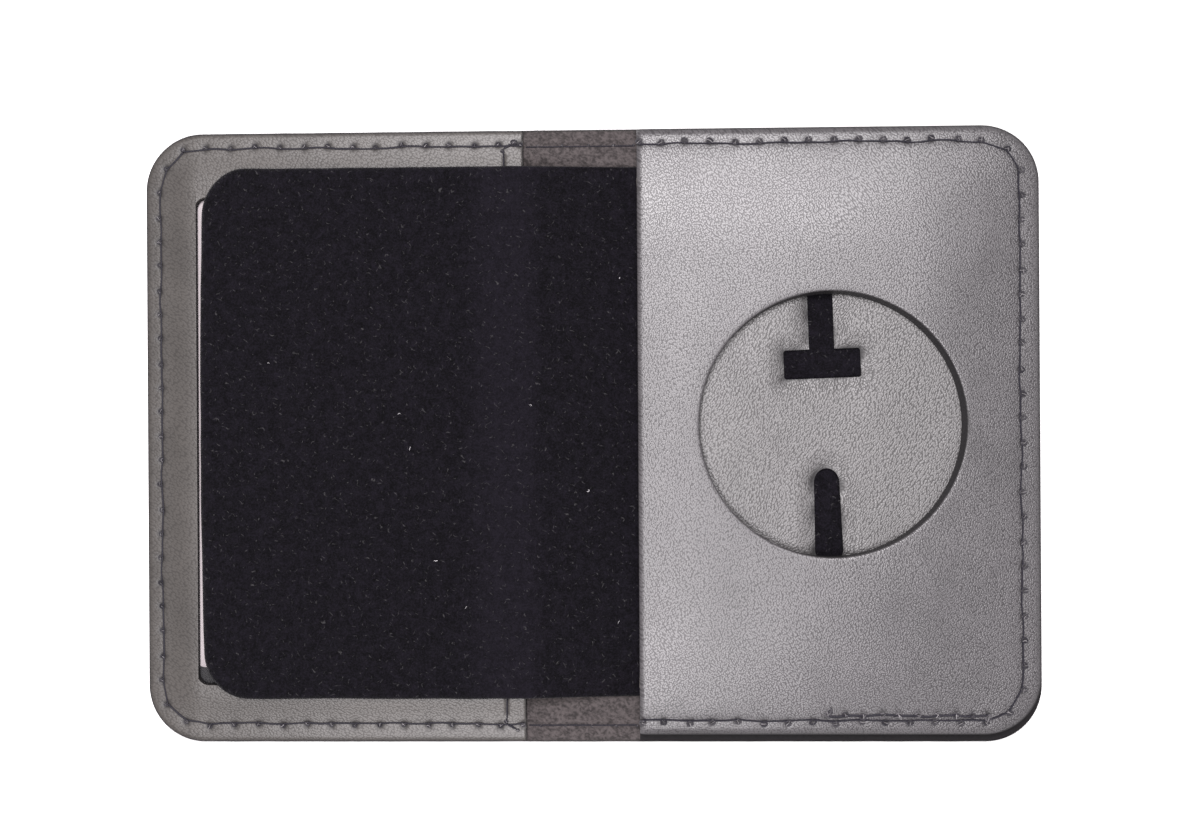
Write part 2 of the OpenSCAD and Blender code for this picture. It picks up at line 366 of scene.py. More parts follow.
@dataclass(frozen=True)
class Suede:
    """The flesh side of leather, napped and mottled."""

    name: str
    tone: Colour
    edge: Colour = (0.02, 0.018, 0.018)

    def material(self) -> bpy.types.Material:
        """Builds the suede's nodes.

        Returns:
            The material.
        """
        tree = ShaderTree(self.name)
        place = tree.place()
        nap = tree.cloud(tree.turned(tree.drift(place, 2.0, 0.5), 70, 1.5), 0.42, 3.0, 0.6)
        blot = tree.cloud(place, 1.3, 3.0, 0.6)
        streak = tree.cloud(tree.turned(place, 90, 3.0), 1.1, 2.0)
        light = tree.step(nap * 0.5 + blot * 0.4 + streak * 0.1, 0.38, 0.62)
        shade = tree.mix(light, scaled(self.tone, 0.52), scaled(self.tone, 1.62))
        return tree.finish(tree.surface({
            "Base Color": tree.mix(tree.spot("dark").least(1.0), shade, self.edge),
            "Roughness": 0.92,
            "Specular IOR Level": 0.2,
            "Sheen Weight": 0.08,
            "Sheen Roughness": 0.6,
            "Normal": tree.bump(nap * 0.7 + blot * 0.3, 0.3),
        }))


@dataclass(frozen=True)
class Velvet:
    """Black cotton velvet with a short pile and stray hairs, made paler where it bends as painted light on
    the tilted cloth.
    """

    name: str
    tone: Colour
    hair: Colour = (0.09, 0.088, 0.088)

    def material(self) -> bpy.types.Material:
        """Builds the velvet's nodes.

        Returns:
            The material.
        """
        tree = ShaderTree(self.name)
        place = tree.place()
        pile = tree.cloud(tree.drift(place, 1.6, 0.5), 0.32, 3.0, 0.75)
        brushed = tree.cloud(tree.drift(place, 3.0, 1.0), 1.7, 4.0, 0.75)
        first = tree.cells(tree.turned(tree.drift(place, 1.6, 0.9), 60, 4.5), 1.2)
        second = tree.cells(tree.turned(tree.drift(place, 1.1, 0.8), -25, 4.0), 1.1)
        hair = (1 - tree.step(first.least(second), 0.02, 0.09)) * tree.step(pile, 0.4, 0.6)
        light = tree.step(pile, 0.38, 0.7) * 0.7 + tree.step(brushed, 0.38, 0.68) * 0.4
        # Painted light: paler where the cloth tilts over the bend.
        light = light + tree.spot("bend_light") * 0.3
        nap = tree.mix(light.least(1.0), self.tone, scaled(self.tone, 6.2))
        return tree.finish(tree.surface({
            "Base Color": tree.mix(hair * 0.36, nap, self.hair),
            "Roughness": 1.0,
            "Specular IOR Level": 0.08,
            "Sheen Weight": 0.08,
            "Sheen Roughness": 0.45,
            "Normal": tree.bump(pile, 0.22),
        }))


@dataclass(frozen=True)
class Thread:
    """Waxed black thread with pale bits: frayed fibres, and painted highlights on the lumps."""

    name: str
    tone: Colour
    fray_and_glint: Colour
    rubbed: Colour = (0.1, 0.095, 0.11)

    def material(self) -> bpy.types.Material:
        """Builds the thread's nodes.

        Returns:
            The material.
        """
        tree = ShaderTree(self.name)
        twist = tree.cloud(tree.place(), 0.12, 2.0, 0.6)
        strands = tree.mix(tree.step(twist, 0.4, 0.7) * 0.25, self.tone, self.rubbed)
        return tree.finish(tree.surface({
            "Base Color": tree.mix(tree.spot("fray_and_glint").least(1.0), strands, self.fray_and_glint),
            "Roughness": 0.5 + twist * 0.3,
            "Specular IOR Level": 0.18,
            "Normal": tree.bump(twist, 0.05),
        }))


@dataclass(frozen=True)
class Plastic:
    """Clear vinyl or card plastic with faint scuffs and waves."""

    name: str
    tone: Colour
    gloss: float
    alpha: float = 1.0
    wave: float = 0.02

    def material(self) -> bpy.types.Material:
        """Builds the plastic's nodes.

        Returns:
            The material.
        """
        tree = ShaderTree(self.name)
        place = tree.place()
        scuff = tree.cloud(tree.turned(place, 20, 5.0), 0.6, 4.0, 0.7)
        waves = tree.cloud(place, 12.0, 2.0)
        settings = {
            "Base Color": tree.mix(tree.step(waves, 0.35, 0.65), scaled(self.tone, 0.96), self.tone),
            "Roughness": self.gloss + tree.step(scuff, 0.55, 0.8) * 0.2,
            "Normal": tree.bump(waves * 0.85 + scuff * 0.15, self.wave),
        }
        if self.alpha < 1:
            settings["Alpha"] = self.alpha + tree.step(scuff, 0.6, 0.85) * 0.12
        return tree.finish(tree.surface(settings))


@dataclass(frozen=True)
class Board:
    """Grey stiffener board with pressed fibres."""

    name: str
    tone: Colour

    def material(self) -> bpy.types.Material:
        """Builds the board's nodes.

        Returns:
            The material.
        """
        tree = ShaderTree(self.name)
        fibre = tree.cloud(tree.turned(tree.place(), 15, 4.0), 0.5, 4.0, 0.7)
        colour = tree.mix(tree.step(fibre, 0.3, 0.7), scaled(self.tone, 0.8), scaled(self.tone, 1.2))
        settings = {"Base Color": colour, "Roughness": 0.9, "Normal": tree.bump(fibre, 0.05)}
        return tree.finish(tree.surface(settings))


@dataclass(frozen=True)
class StudioPaper:
    """The pale floor's paper."""

    name: str
    tone: Colour

    def material(self) -> bpy.types.Material:
        """Builds the paper's nodes.

        Returns:
            The material.
        """
        tree = ShaderTree(self.name)
        colour = tree.mix(tree.cloud(tree.place(), 2.0, 2.0), scaled(self.tone, 0.99), self.tone)
        settings = {"Base Color": colour, "Roughness": 0.95, "Specular IOR Level": 0.1}
        return tree.finish(tree.surface(settings))


class Finish(Enum):
    """The finishes of the case's surfaces and of the floor."""

    HIDE = GrainLeather("case_cover_hide", (0.035, 0.033, 0.034), gloss=0.4, pit=0.55, depth=0.04)
    FRAME = GrainLeather(
        "case_frame_hide", (0.0515, 0.046, 0.042), gloss=0.42, pit=0.42, depth=0.02, lean=150.0, shine=0.62,
        contrast=0.3,
    )
    FACE = GrainLeather(
        "case_face_hide", (0.06, 0.0555, 0.0595), gloss=0.37, pit=0.34, depth=0.026, lean=118.0, drawn=0.1,
        shine=0.88, contrast=0.46,
    )
    FLOOR = GrainLeather(
        "case_floor_hide", (0.065, 0.061, 0.0615), gloss=0.4, pit=0.4, depth=0.026, lean=55.0, drawn=0.3,
        shine=0.97, contrast=0.48,
    )
    # Near black over the cover shells' whole upper side and edge: real edge paint at the rim, and painted
    # shade on the margin beside the panels.
    EDGE = GrainLeather("case_edge_paint_and_shade", (0.01, 0.009, 0.01), gloss=0.6, pit=0.6, depth=0.02, shine=0.12)
    SUEDE = Suede("case_suede", (0.045, 0.0385, 0.0385))
    VELVET = Velvet("case_velvet", (0.0013, 0.0011, 0.0017))
    THREAD = Thread("case_thread", (0.012, 0.011, 0.016), fray_and_glint=(0.42, 0.4, 0.41))
    LINT = Thread("case_lint", (0.016, 0.015, 0.017), fray_and_glint=(0.6, 0.58, 0.6))
    VINYL = Plastic("case_vinyl", (0.1, 0.1, 0.105), gloss=0.12, alpha=0.16, wave=0.05)
    CARD = Plastic("case_card", (0.68, 0.61, 0.625), gloss=0.3)
    BOARD = Board("case_board", (0.12, 0.11, 0.1))
    PAPER = StudioPaper("floor_paper", (0.9, 0.9, 0.9))

    @property
    def material(self) -> bpy.types.Material:
        """The finish's material, made once."""
        return bpy.data.materials.get(self.value.name) or self.value.material()


# Shapes


@dataclass(frozen=True)
class Outline:
    """A round-cornered rectangle."""

    left: float
    right: float
    foot: float
    head: float
    radius: float

    def drawn_in(self, by: float, least_radius: float = 1.0) -> "Outline":
        """Returns the outline drawn in by a distance on all sides."""
        radius = max(self.radius - by, least_radius)
        return Outline(self.left + by, self.right - by, self.foot + by, self.head - by, radius)

    def toward(self, other: "Outline", share: float) -> "Outline":
        """Returns an outline a share of the way to another."""
        return Outline(*(a + (b - a) * share for a, b in zip(self._sizes(), other._sizes())))

    def _sizes(self) -> tuple[float, ...]:
        """Returns the five sizes."""
        return self.left, self.right, self.foot, self.head, self.radius

    def ring(self, across: int, up: int, corner: int) -> list[Vector]:
        """Walks the outline anticlockwise from the left end of its foot.

        Args:
            across: Points along the foot and the head.
            up: Points along each side.
            corner: Points round each corner.

        Returns:
            The points, at height 0.
        """
        r = self.radius
        x = (self.left + r, self.right - r)
        y = (self.foot + r, self.head - r)
        legs = (
            ((x[0], self.foot), (x[1], self.foot), across, (x[1], y[0]), -90),
            ((self.right, y[0]), (self.right, y[1]), up, (x[1], y[1]), 0),
            ((x[1], self.head), (x[0], self.head), across, (x[0], y[1]), 90),
            ((self.left, y[1]), (self.left, y[0]), up, (x[0], y[0]), 180),
        )
        points = []
        for start, end, count, centre, angle in legs:
            a, b = Vector((*start, 0)), Vector((*end, 0))
            points += [a.lerp(b, i / count) for i in range(count)]
            for i in range(corner):
                turn = math.radians(angle + 90 * i / corner)
                points.append(Vector((centre[0] + r * math.cos(turn), centre[1] + r * math.sin(turn), 0)))
        return points


def level(ring: Sequence[Vector], z: float) -> list[Vector]:
    """Returns a ring's points at a height."""
    return [Vector((p.x, p.y, z)) for p in ring]


def stack(
    outline: Outline, profile: Sequence[tuple[float, float]], counts: tuple[int, int, int]
) -> list[list[Vector]]:
    """Returns a ring for each inset from the outline and height of a profile."""
    return [level(outline.drawn_in(inset).ring(*counts), z) for inset, z in profile]


def lay_grid(
    bm: bmesh.types.BMesh,
    columns: int,
    rows: int,
    place: Callable[[int, int], Vector],
    marks: Sequence[float] = (),
) -> list[bmesh.types.BMVert]:
    """Adds a grid and puts each of its points in its place.

    Args:
        bm: The mesh that it is added to.
        columns: Faces across.
        rows: Faces up.
        place: Gives a point's place from its column and row.
        marks: The inset that each row's points are marked with, if any.

    Returns:
        The new points.
    """
    layer = bm.verts.layers.float.new("inset") if marks else None
    made = bmesh.ops.create_grid(bm, x_segments=columns, y_segments=rows, size=0.5)["verts"]
    for vert in made:
        column = round((vert.co.x + 0.5) * columns)
        row = round((vert.co.y + 0.5) * rows)
        vert.co = place(column, row)
        if marks:
            vert[layer] = marks[row % len(marks)]
    return made


def loft(rings: Sequence[Sequence[Vector]], capped: bool, marks: Sequence[float] = ()) -> bmesh.types.BMesh:
    """Makes a shell through rings that have the same number of points.

    Args:
        rings: The rings in order.
        capped: Whether the first and the last ring are filled, or else joined to each other.
        marks: The inset that each ring's points are marked with, if any.

    Returns:
        The closed shell.
    """
    bm = bmesh.new()
    count = len(rings[0])
    runs = list(rings) if capped else [*rings, rings[0]]
    lay_grid(bm, count, len(runs) - 1, lambda i, j: runs[j][i % count], marks)
    bmesh.ops.remove_doubles(bm, verts=bm.verts, dist=MERGE)
    if capped:
        bmesh.ops.holes_fill(bm, edges=[e for e in bm.edges if e.is_boundary], sides=0)
    bmesh.ops.recalc_face_normals(bm, faces=bm.faces)
    return bm


def bisect(bm: bmesh.types.BMesh, x: float, **clear: bool) -> None:
    """Adds edges where a plane across the case meets a shell, and clears the side that is named."""
    geometry = [*bm.verts, *bm.edges, *bm.faces]
    bmesh.ops.bisect_plane(bm, geom=geometry, dist=1e-6, plane_co=(x, 0, 0), plane_no=(1, 0, 0), **clear)


def cut(bm: bmesh.types.BMesh, x: float, keep_right: bool) -> None:
    """Cuts a shell off at a place across the case and closes the cut."""
    bisect(bm, x, clear_inner=keep_right, clear_outer=not keep_right)
    bmesh.ops.holes_fill(bm, edges=[e for e in bm.edges if e.is_boundary], sides=0)


def slice_at(bm: bmesh.types.BMesh, places: Iterable[float]) -> None:
    """Adds edges across a shell at places across the case."""
    for x in places:
        bisect(bm, x)


def strand(
    bm: bmesh.types.BMesh, points: Sequence[Vector], radius: float, sides: int = 5, fray_and_glint: float = 0.0
) -> None:
    """Adds a thread that follows points and ends in points.

    Args:
        bm: The mesh that it is added to.
        points: The points that it follows.
        radius: Its radius.
        sides: The number of its sides.
        fray_and_glint: How pale it is, from 0 to 1.
    """
    layer = bm.verts.layers.float.get("fray_and_glint") or bm.verts.layers.float.new("fray_and_glint")
    last = len(points) - 1

    def place(column: int, row: int) -> Vector:
        """Gives a place round the thread.

        Args:
            column: The number of the side.
            row: The number of the point that the thread follows.

        Returns:
            The place.
        """
        ahead = (points[min(row + 1, last)] - points[max(row - 1, 0)]).normalized()
        side = ahead.cross(UP)
        side = side.normalized() if side.length > 1e-6 else Vector((1, 0, 0))
        turn = 2 * math.pi * (column % sides) / sides
        width = 0.0 if row in (0, last) else radius
        return points[row] + (side * math.cos(turn) + side.cross(ahead) * math.sin(turn)) * width

    made = lay_grid(bm, sides, last, place)
    for vert in made:
        vert[layer] = fray_and_glint
    bmesh.ops.remove_doubles(bm, verts=made, dist=MERGE)


def as_object(name: str, bm: bmesh.types.BMesh) -> bpy.types.Object:
    """Makes an object in the scene.

    Args:
        name: The object's name.
        bm: Its shaped mesh, which is freed.

    Returns:
        The object.
    """
    mesh = bpy.data.meshes.new(name)
    bm.to_mesh(mesh)
    bm.free()
    made = bpy.data.objects.new(name, mesh)
    bpy.context.scene.collection.objects.link(made)
    return made


def finish_node(name: str, finish: Finish) -> bpy.types.Object:
    """Gives a node of the frame that stays in sight its finish.

    Args:
        name: The node's name.
        finish: The finish.

    Returns:
        The node's object.
    """
    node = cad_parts[name]
    node.data.materials.clear()
    node.data.materials.append(finish.material)
    return node


@dataclass
class Piece:
    """A visible piece of the case, from its shaped mesh to its place on a body or over a fold.

    Attributes:
        name: The object's name.
        finish: Its finish.
        slot: The material slot that it stands for; not used.
        replaces: The nodes of the frame that it stands in for.
        body: The body that it rides on, if it doesn't bend.
        bend: The two bodies that it bends between, and where the bend starts and ends.
        sharp: The least angle of an edge that stays sharp, in degrees.
    """

    name: str
    finish: Finish
    slot: str
    replaces: tuple[str, ...] = ()
    body: str = ""
    bend: Optional[Bend] = None
    sharp: float = 50.0

    def make(self, bm: bmesh.types.BMesh) -> bpy.types.Object:
        """Makes the object.

        Args:
            bm: The shaped mesh in millimetres, which is freed.

        Returns:
            The object, in metres and on its body.
        """
        bmesh.ops.recalc_face_normals(bm, faces=bm.faces)
        bmesh.ops.scale(bm, vec=(MM, MM, MM), verts=bm.verts)
        made = as_object(self.name, bm)
        made.data.shade_smooth()
        made.data.set_sharp_from_angle(angle=math.radians(self.sharp))
        made.data.materials.append(self.finish.material)
        if self.replaces:
            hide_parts(*self.replaces)
        if self.bend:
            first, second, start, end = self.bend
            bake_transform(made, first, second, start=(start * MM, 0, 0), end=(end * MM, 0, 0))
        else:
            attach(made, self.body)
        LOG.info("%s: %d faces", self.name, len(made.data.polygons))
        return made


# The case


@dataclass(frozen=True)
class Layout:
    """Places that the case's parts share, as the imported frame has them."""

    left: float = -78.75
    right: float = 78.75
    foot: float = -54.0
    head: float = 54.0
    corner: float = 10.0
    id_edge: float = -11.6
    badge_edge: float = 8.4
    folds: tuple[float, float] = (-7.6, 4.4)
    spine_cut: float = -0.1
    seam_inset: float = 3.0
    cover_top: float = 1.4
    cover_gap: float = 0.01
    recess: tuple[float, float] = (42.1, 1.8)
    recess_r: float = 23.3
    pitch: float = 4.3

    @property
    def outline(self) -> Outline:
        """The case's outline."""
        return Outline(self.left, self.right, self.foot, self.head, self.corner)

    @property
    def seam_y(self) -> float:
        """How far the seam's rows are from the middle of the case."""
        return self.head - self.seam_inset

    @property
    def on_cover(self) -> float:
        """The height of what is sewn on the cover."""
        return self.cover_top + self.cover_gap

    @property
    def bend_left(self) -> Bend:
        """How a piece bends over the first fold."""
        return "id_half", "spine", self.id_edge, 2 * self.folds[0] - self.id_edge

    @property
    def bend_right(self) -> Bend:
        """How a piece bends over the second fold."""
        return "spine", "badge_half", 2 * self.folds[1] - self.badge_edge, self.badge_edge

    def inset(self, x: float, y: float) -> float:
        """Tells how far in from the case's outline a place is.

        Args:
            x: Place across the case.
            y: Place up the case.

        Returns:
            The distance.
        """
        side = min(x - self.left, self.right - x)
        rise = min(y - self.foot, self.head - y)
        if side < self.corner and rise < self.corner:
            return self.corner - math.hypot(self.corner - side, self.corner - rise)
        return min(side, rise)

    def from_recess(self, x: float, y: float) -> float:
        """Returns the distance from a place to the middle of the recess."""
        return math.hypot(x - self.recess[0], y - self.recess[1])


@dataclass
class Seam:
    """The seam round one half, from the spine along the head, down the side and back along the foot.

    Attributes:
        layout: The case's places.
        side: -1 for the ID half and 1 for the badge half.
        start: Where the seam leaves the spine.
        head_inset: The seam's distance from the case's head.
        side_inset: Its distance from the case's side.
        foot_inset: Its distance from the case's foot.
        head_edge: The upper leather's distance from the case's head.
        side_edge: Its distance from the case's side.
        foot_edge: Its distance from the case's foot.
        back_from: Where the back stitching starts along the foot, if there is any.
        back_to: Where it ends.
        back_rise: How far it lies above the seam.
        run_on: How far the upper leather's outline runs on past the spine's side.
        jitter: How far a hole strays along the seam.
        stray: How far a hole strays across the seam.
        press: How far towards the edge the leather is pressed in deepest at a hole.
        holes: The holes.
        inward: The way from each hole towards the middle of the half.
        back: The holes of the back stitching.
    """

    layout: Layout
    side: int
    start: float
    head_inset: float
    side_inset: float
    foot_inset: float
    head_edge: float
    side_edge: float
    foot_edge: float
    back_from: float = math.inf
    back_to: float = 69.5
    back_rise: float = 0.85
    run_on: float = 22.0
    jitter: float = 0.22
    stray: float = 0.2
    press: float = 0.3
    holes: list[Vector] = field(default_factory=list)
    inward: list[Vector] = field(default_factory=list)
    back: list[Vector] = field(default_factory=list)

    def __post_init__(self) -> None:
        """Works out the holes and the way inward from each."""
        chance = random.Random(11 + self.side)
        full = self._length()
        count = round(full / self.layout.pitch)
        end_gap = 0.45
        for i in range(count + 1):
            s = i * full / count + (chance.uniform(-self.jitter, self.jitter) if 0 < i < count else 0.0)
            s = min(max(s, end_gap), full - end_gap)
            hole, ahead = self.spot(s), self.spot(s + 0.01)
            inward = (ahead - hole).cross(UP * self.side).normalized()
            self.holes.append(hole + inward * chance.uniform(-self.stray, self.stray))
            self.inward.append(inward)
        x = self.back_from
        while x < self.back_to:
            y = self.layout.foot + self.foot_inset + self.back_rise + chance.uniform(-0.25, 0.25)
            self.back.append(Vector((x, y, 0)))
            x += self.layout.pitch * chance.uniform(0.6, 0.8)
        self.tree = KDTree(len(self.holes) + len(self.back))
        for i, hole in enumerate(self.holes):
            self.tree.insert(hole - self.inward[i] * self.press, i)
        for i, hole in enumerate(self.back):
            self.tree.insert(hole, len(self.holes) + i)
        self.tree.balance()

    @property
    def radius(self) -> float:
        """The radius of the seam's corners."""
        return self.layout.corner - self.layout.seam_inset

    @property
    def foot_row(self) -> float:
        """The place of the seam's foot up the case."""
        return self.layout.foot + self.foot_inset

    def drawn(self, inset: float) -> Outline:
        """Draws the half's outline in, to the case's nominal seam inset for the seam's own line.

        Args:
            inset: The nominal inset.

        Returns:
            The outline, run on past the spine's side.
        """
        lay = self.layout
        share = min(inset / lay.seam_inset, 1.0)
        more = max(inset - lay.seam_inset, 0.0)
        rows = (
            (self.side_edge, self.side_inset),
            (self.foot_edge, self.foot_inset),
            (self.head_edge, self.head_inset),
        )
        side, foot, head = (edge + (seam - edge) * share + more for edge, seam in rows)
        beyond = self.start - self.side * (self.run_on - inset)
        outer = (lay.left + side) if self.side < 0 else (lay.right - side)
        low, high = sorted((beyond, outer))
        return Outline(low, high, lay.foot + foot, lay.head - head, max(lay.corner - inset, 1.0))

    def _legs(self) -> tuple[float, float, float, float]:
        """Measures the seam's legs.

        Returns:
            The straight along the head, the straight down the side, the corner's radius and its length.
        """
        line = self.drawn(self.layout.seam_inset)
        outer = line.left if self.side < 0 else line.right
        radius = self.radius
        along = abs(outer - self.start) - radius
        down = line.head - line.foot - 2 * radius
        return along, down, radius, radius * math.pi / 2

    def _length(self) -> float:
        """Returns the seam's length."""
        along, down, _, arc = self._legs()
        return 2 * along + down + 2 * arc

    def spot(self, s: float) -> Vector:
        """Finds a place on the seam.

        Args:
            s: The distance along the seam.

        Returns:
            The place, at height 0.
        """
        along, down, r, arc = self._legs()
        top = self.layout.head - self.head_inset
        if s < along:
            x, y = s, top
        elif s < along + arc:
            turn = (s - along) / r
            x, y = along + r * math.sin(turn), top - r * (1 - math.cos(turn))
        elif s < along + arc + down:
            x, y = along + r, top - r - (s - along - arc)
        elif s < along + 2 * arc + down:
            turn = (s - along - arc - down) / r
            x, y = along + r * math.cos(turn), top - r - down - r * math.sin(turn)
        else:
            x, y = 2 * along + 2 * arc + down - s, top - 2 * r - down
        return Vector((self.start + self.side * x, y, 0))

    def pressed(self, x: float, y: float, off: float) -> tuple[float, float]:
        """Tells how the stitches press the leather.

        Args:
            x: Place across the case.
            y: Place up the case.
            off: Distance from the line of the seam.

        Returns:
            How deep the leather is pressed, and how dark it is.
        """
        near = self.tree.find(Vector((x, y, 0)))[2]
        deep = 0.05 * bell(off, 0.45) + 0.26 * bell(near, 0.42) + 0.045 * bell(near, 1.1)
        return deep, 1.05 * bell(near, 0.62) + 0.1 * bell(off, 0.25)


@dataclass
class Sewer:
    """Lays stitches over the leather."""

    bm: bmesh.types.BMesh
    chance: random.Random
    radius: float = 0.17
    under_radius: float = 0.16

    def stitch(self, start: Vector, end: Vector, lift: float = 0.07, wander: float = 0.18) -> None:
        """Lays one stitch between two holes.

        Args:
            start: The first hole, at the height of the leather.
            end: The second hole.
            lift: How far the thread's middle stands over the leather.
            wander: How far the thread strays sideways.
        """
        side = (end - start).normalized().cross(UP)
        stray = self.chance.uniform(-wander, wander)
        rise = (
            (0.0, -0.3), (0.05, -0.06), (0.2, lift), (0.55, lift * 1.15),
            (0.82, lift), (0.95, -0.06), (1.0, -0.3),
        )
        points = [
            start.lerp(end, share) + side * (math.sin(math.pi * share) * stray) + UP * height
            for share, height in rise
        ]
        strand(self.bm, points, self.radius * self.chance.uniform(0.85, 1.1))

    def under_stitch(self, start: Vector, end: Vector) -> None:
        """Lays one stitch in the groove under the cover."""
        drops = ((0.02, 0.0), (0.12, 0.06), (0.5, 0.08), (0.88, 0.06), (0.98, 0.0))
        strand(self.bm, [start.lerp(end, share) - UP * drop for share, drop in drops], self.under_radius)

    def knot(self, hole: Vector, out: Vector, size: float = 0.3, pale: float = 0.1) -> None:
        """Lays the tight lump and the frayed bits beside a hole.

        Args:
            hole: The hole, at the height of the leather.
            out: The way from the hole to the lump.
            size: The lump's half width.
            pale: How pale the lump is, from 0 to 1, as a painted highlight.
        """
        chance = self.chance
        spot = hole + out * size * chance.uniform(0.7, 1.2) - UP * 0.04
        loop = []
        for i in range(8):
            angle = i * math.pi / 4 + chance.uniform(-0.2, 0.2)
            way = Vector((math.cos(angle), math.sin(angle) * 0.8, 0)) * size * chance.uniform(0.85, 1.3)
            loop.append(spot + way + UP * chance.uniform(-0.06, 0.1))
        strand(self.bm, (*loop, loop[0], loop[1]), size * 0.36, 4, pale * chance.uniform(0.2, 1.0))
        for _ in range(2):
            angle = chance.uniform(0, 2 * math.pi)
            reach = Vector((math.cos(angle), math.sin(angle), 0)) * size * chance.uniform(0.9, 1.7)
            middle = spot + UP * (size * 0.5)
            ends = (middle - reach * 0.6 - UP * 0.12, middle, middle + reach * 0.7, middle + reach)
            strand(self.bm, ends, 0.06, 3, chance.uniform(0.1, 0.8) * min(pale * 7, 1.0))


@dataclass
class Cover:
    """The outer cover: two grained shells and the suede spine between them.

    Attributes:
        layout: The case's places.
        slices: Slices across each bend of the spine.
        counts: Points along the outline's head, side and corner.
        profile: Insets and heights, from the underside with its groove round the edge to the upper side.
    """

    layout: Layout
    slices: int = 16
    counts: tuple[int, int, int] = (170, 96, 22)
    profile: tuple[tuple[float, float], ...] = (
        (4.6, 0.0), (3.9, 0.0), (3.42, 0.0), (3.34, 0.06), (3.24, 0.36), (2.76, 0.36),
        (2.66, 0.06), (2.58, 0.0), (1.4, 0.0), (0.5, 0.01), (0.2, 0.07), (0.05, 0.22),
        (0.0, 0.45), (0.0, 0.95), (0.05, 1.18), (0.2, 1.33), (0.5, 1.39), (1.2, 1.4),
        (2.4, 1.4), (2.75, 1.37), (3.0, 1.33), (3.25, 1.37), (3.6, 1.4), (4.6, 1.4),
    )

    def build(self) -> None:
        """Builds the shells and the two bends of the spine."""
        lay = self.layout
        shells = (("left", "id_half", None, lay.id_edge), ("right", "badge_half", lay.badge_edge, None))
        for side, body, start, end in shells:
            # The shells' upper side and edge take the near-black edge paint, which is also painted shade on
            # the margin beside the panels.
            shell = Piece(f"cover_shell_{side}", Finish.EDGE, "cover_leather", (f"cover_{side}",), body)
            self._two_sided(shell.make(self._stretch(start, end)))
        bends = (
            ("left", lay.bend_left, lay.id_edge, lay.spine_cut),
            ("right", lay.bend_right, lay.spine_cut, lay.badge_edge),
        )
        for side, bend, start, end in bends:
            spine = Piece(f"spine_bend_{side}", Finish.SUEDE, "spine_suede", ("spine",), bend=bend)
            self._two_sided(spine.make(self._stretch(start, end, self.slices)))

    def _stretch(self, start: Optional[float], end: Optional[float], slices: int = 0) -> bmesh.types.BMesh:
        """Builds a stretch of the cover, with its edge painted dark.

        Args:
            start: Where it starts across the case, or None for the case's side.
            end: Where it ends.
            slices: How many slices it has for a bend.

        Returns:
            The closed shell.
        """
        rings = stack(self.layout.outline, self.profile, self.counts)
        for (inset, _), ring in zip(self.profile, rings):
            for p in ring if inset < 0.6 else ():
                p.y -= math.copysign(0.07 * swell(p.x, p.y, 9.0, 2.0), p.y)
        bm = loft(rings, capped=True)
        if start is not None:
            cut(bm, start, True)
        if end is not None:
            cut(bm, end, False)
        if slices:
            slice_at(bm, (start + (end - start) * i / slices for i in range(1, slices)))
        dark = bm.verts.layers.float.new("dark")
        for v in bm.verts:
            v[dark] = 1 - ramp01(self.layout.inset(v.co.x, v.co.y), 0.15, 0.55)
        return bm

    @staticmethod
    def _two_sided(made: bpy.types.Object) -> None:
        """Gives a piece's outer side the cover's hide.

        Args:
            made: The piece.
        """
        made.data.materials.append(Finish.HIDE.material)
        for face in made.data.polygons:
            if face.normal.z < 0.5 and face.center.z < 0.7 * MM:
                face.material_index = 1


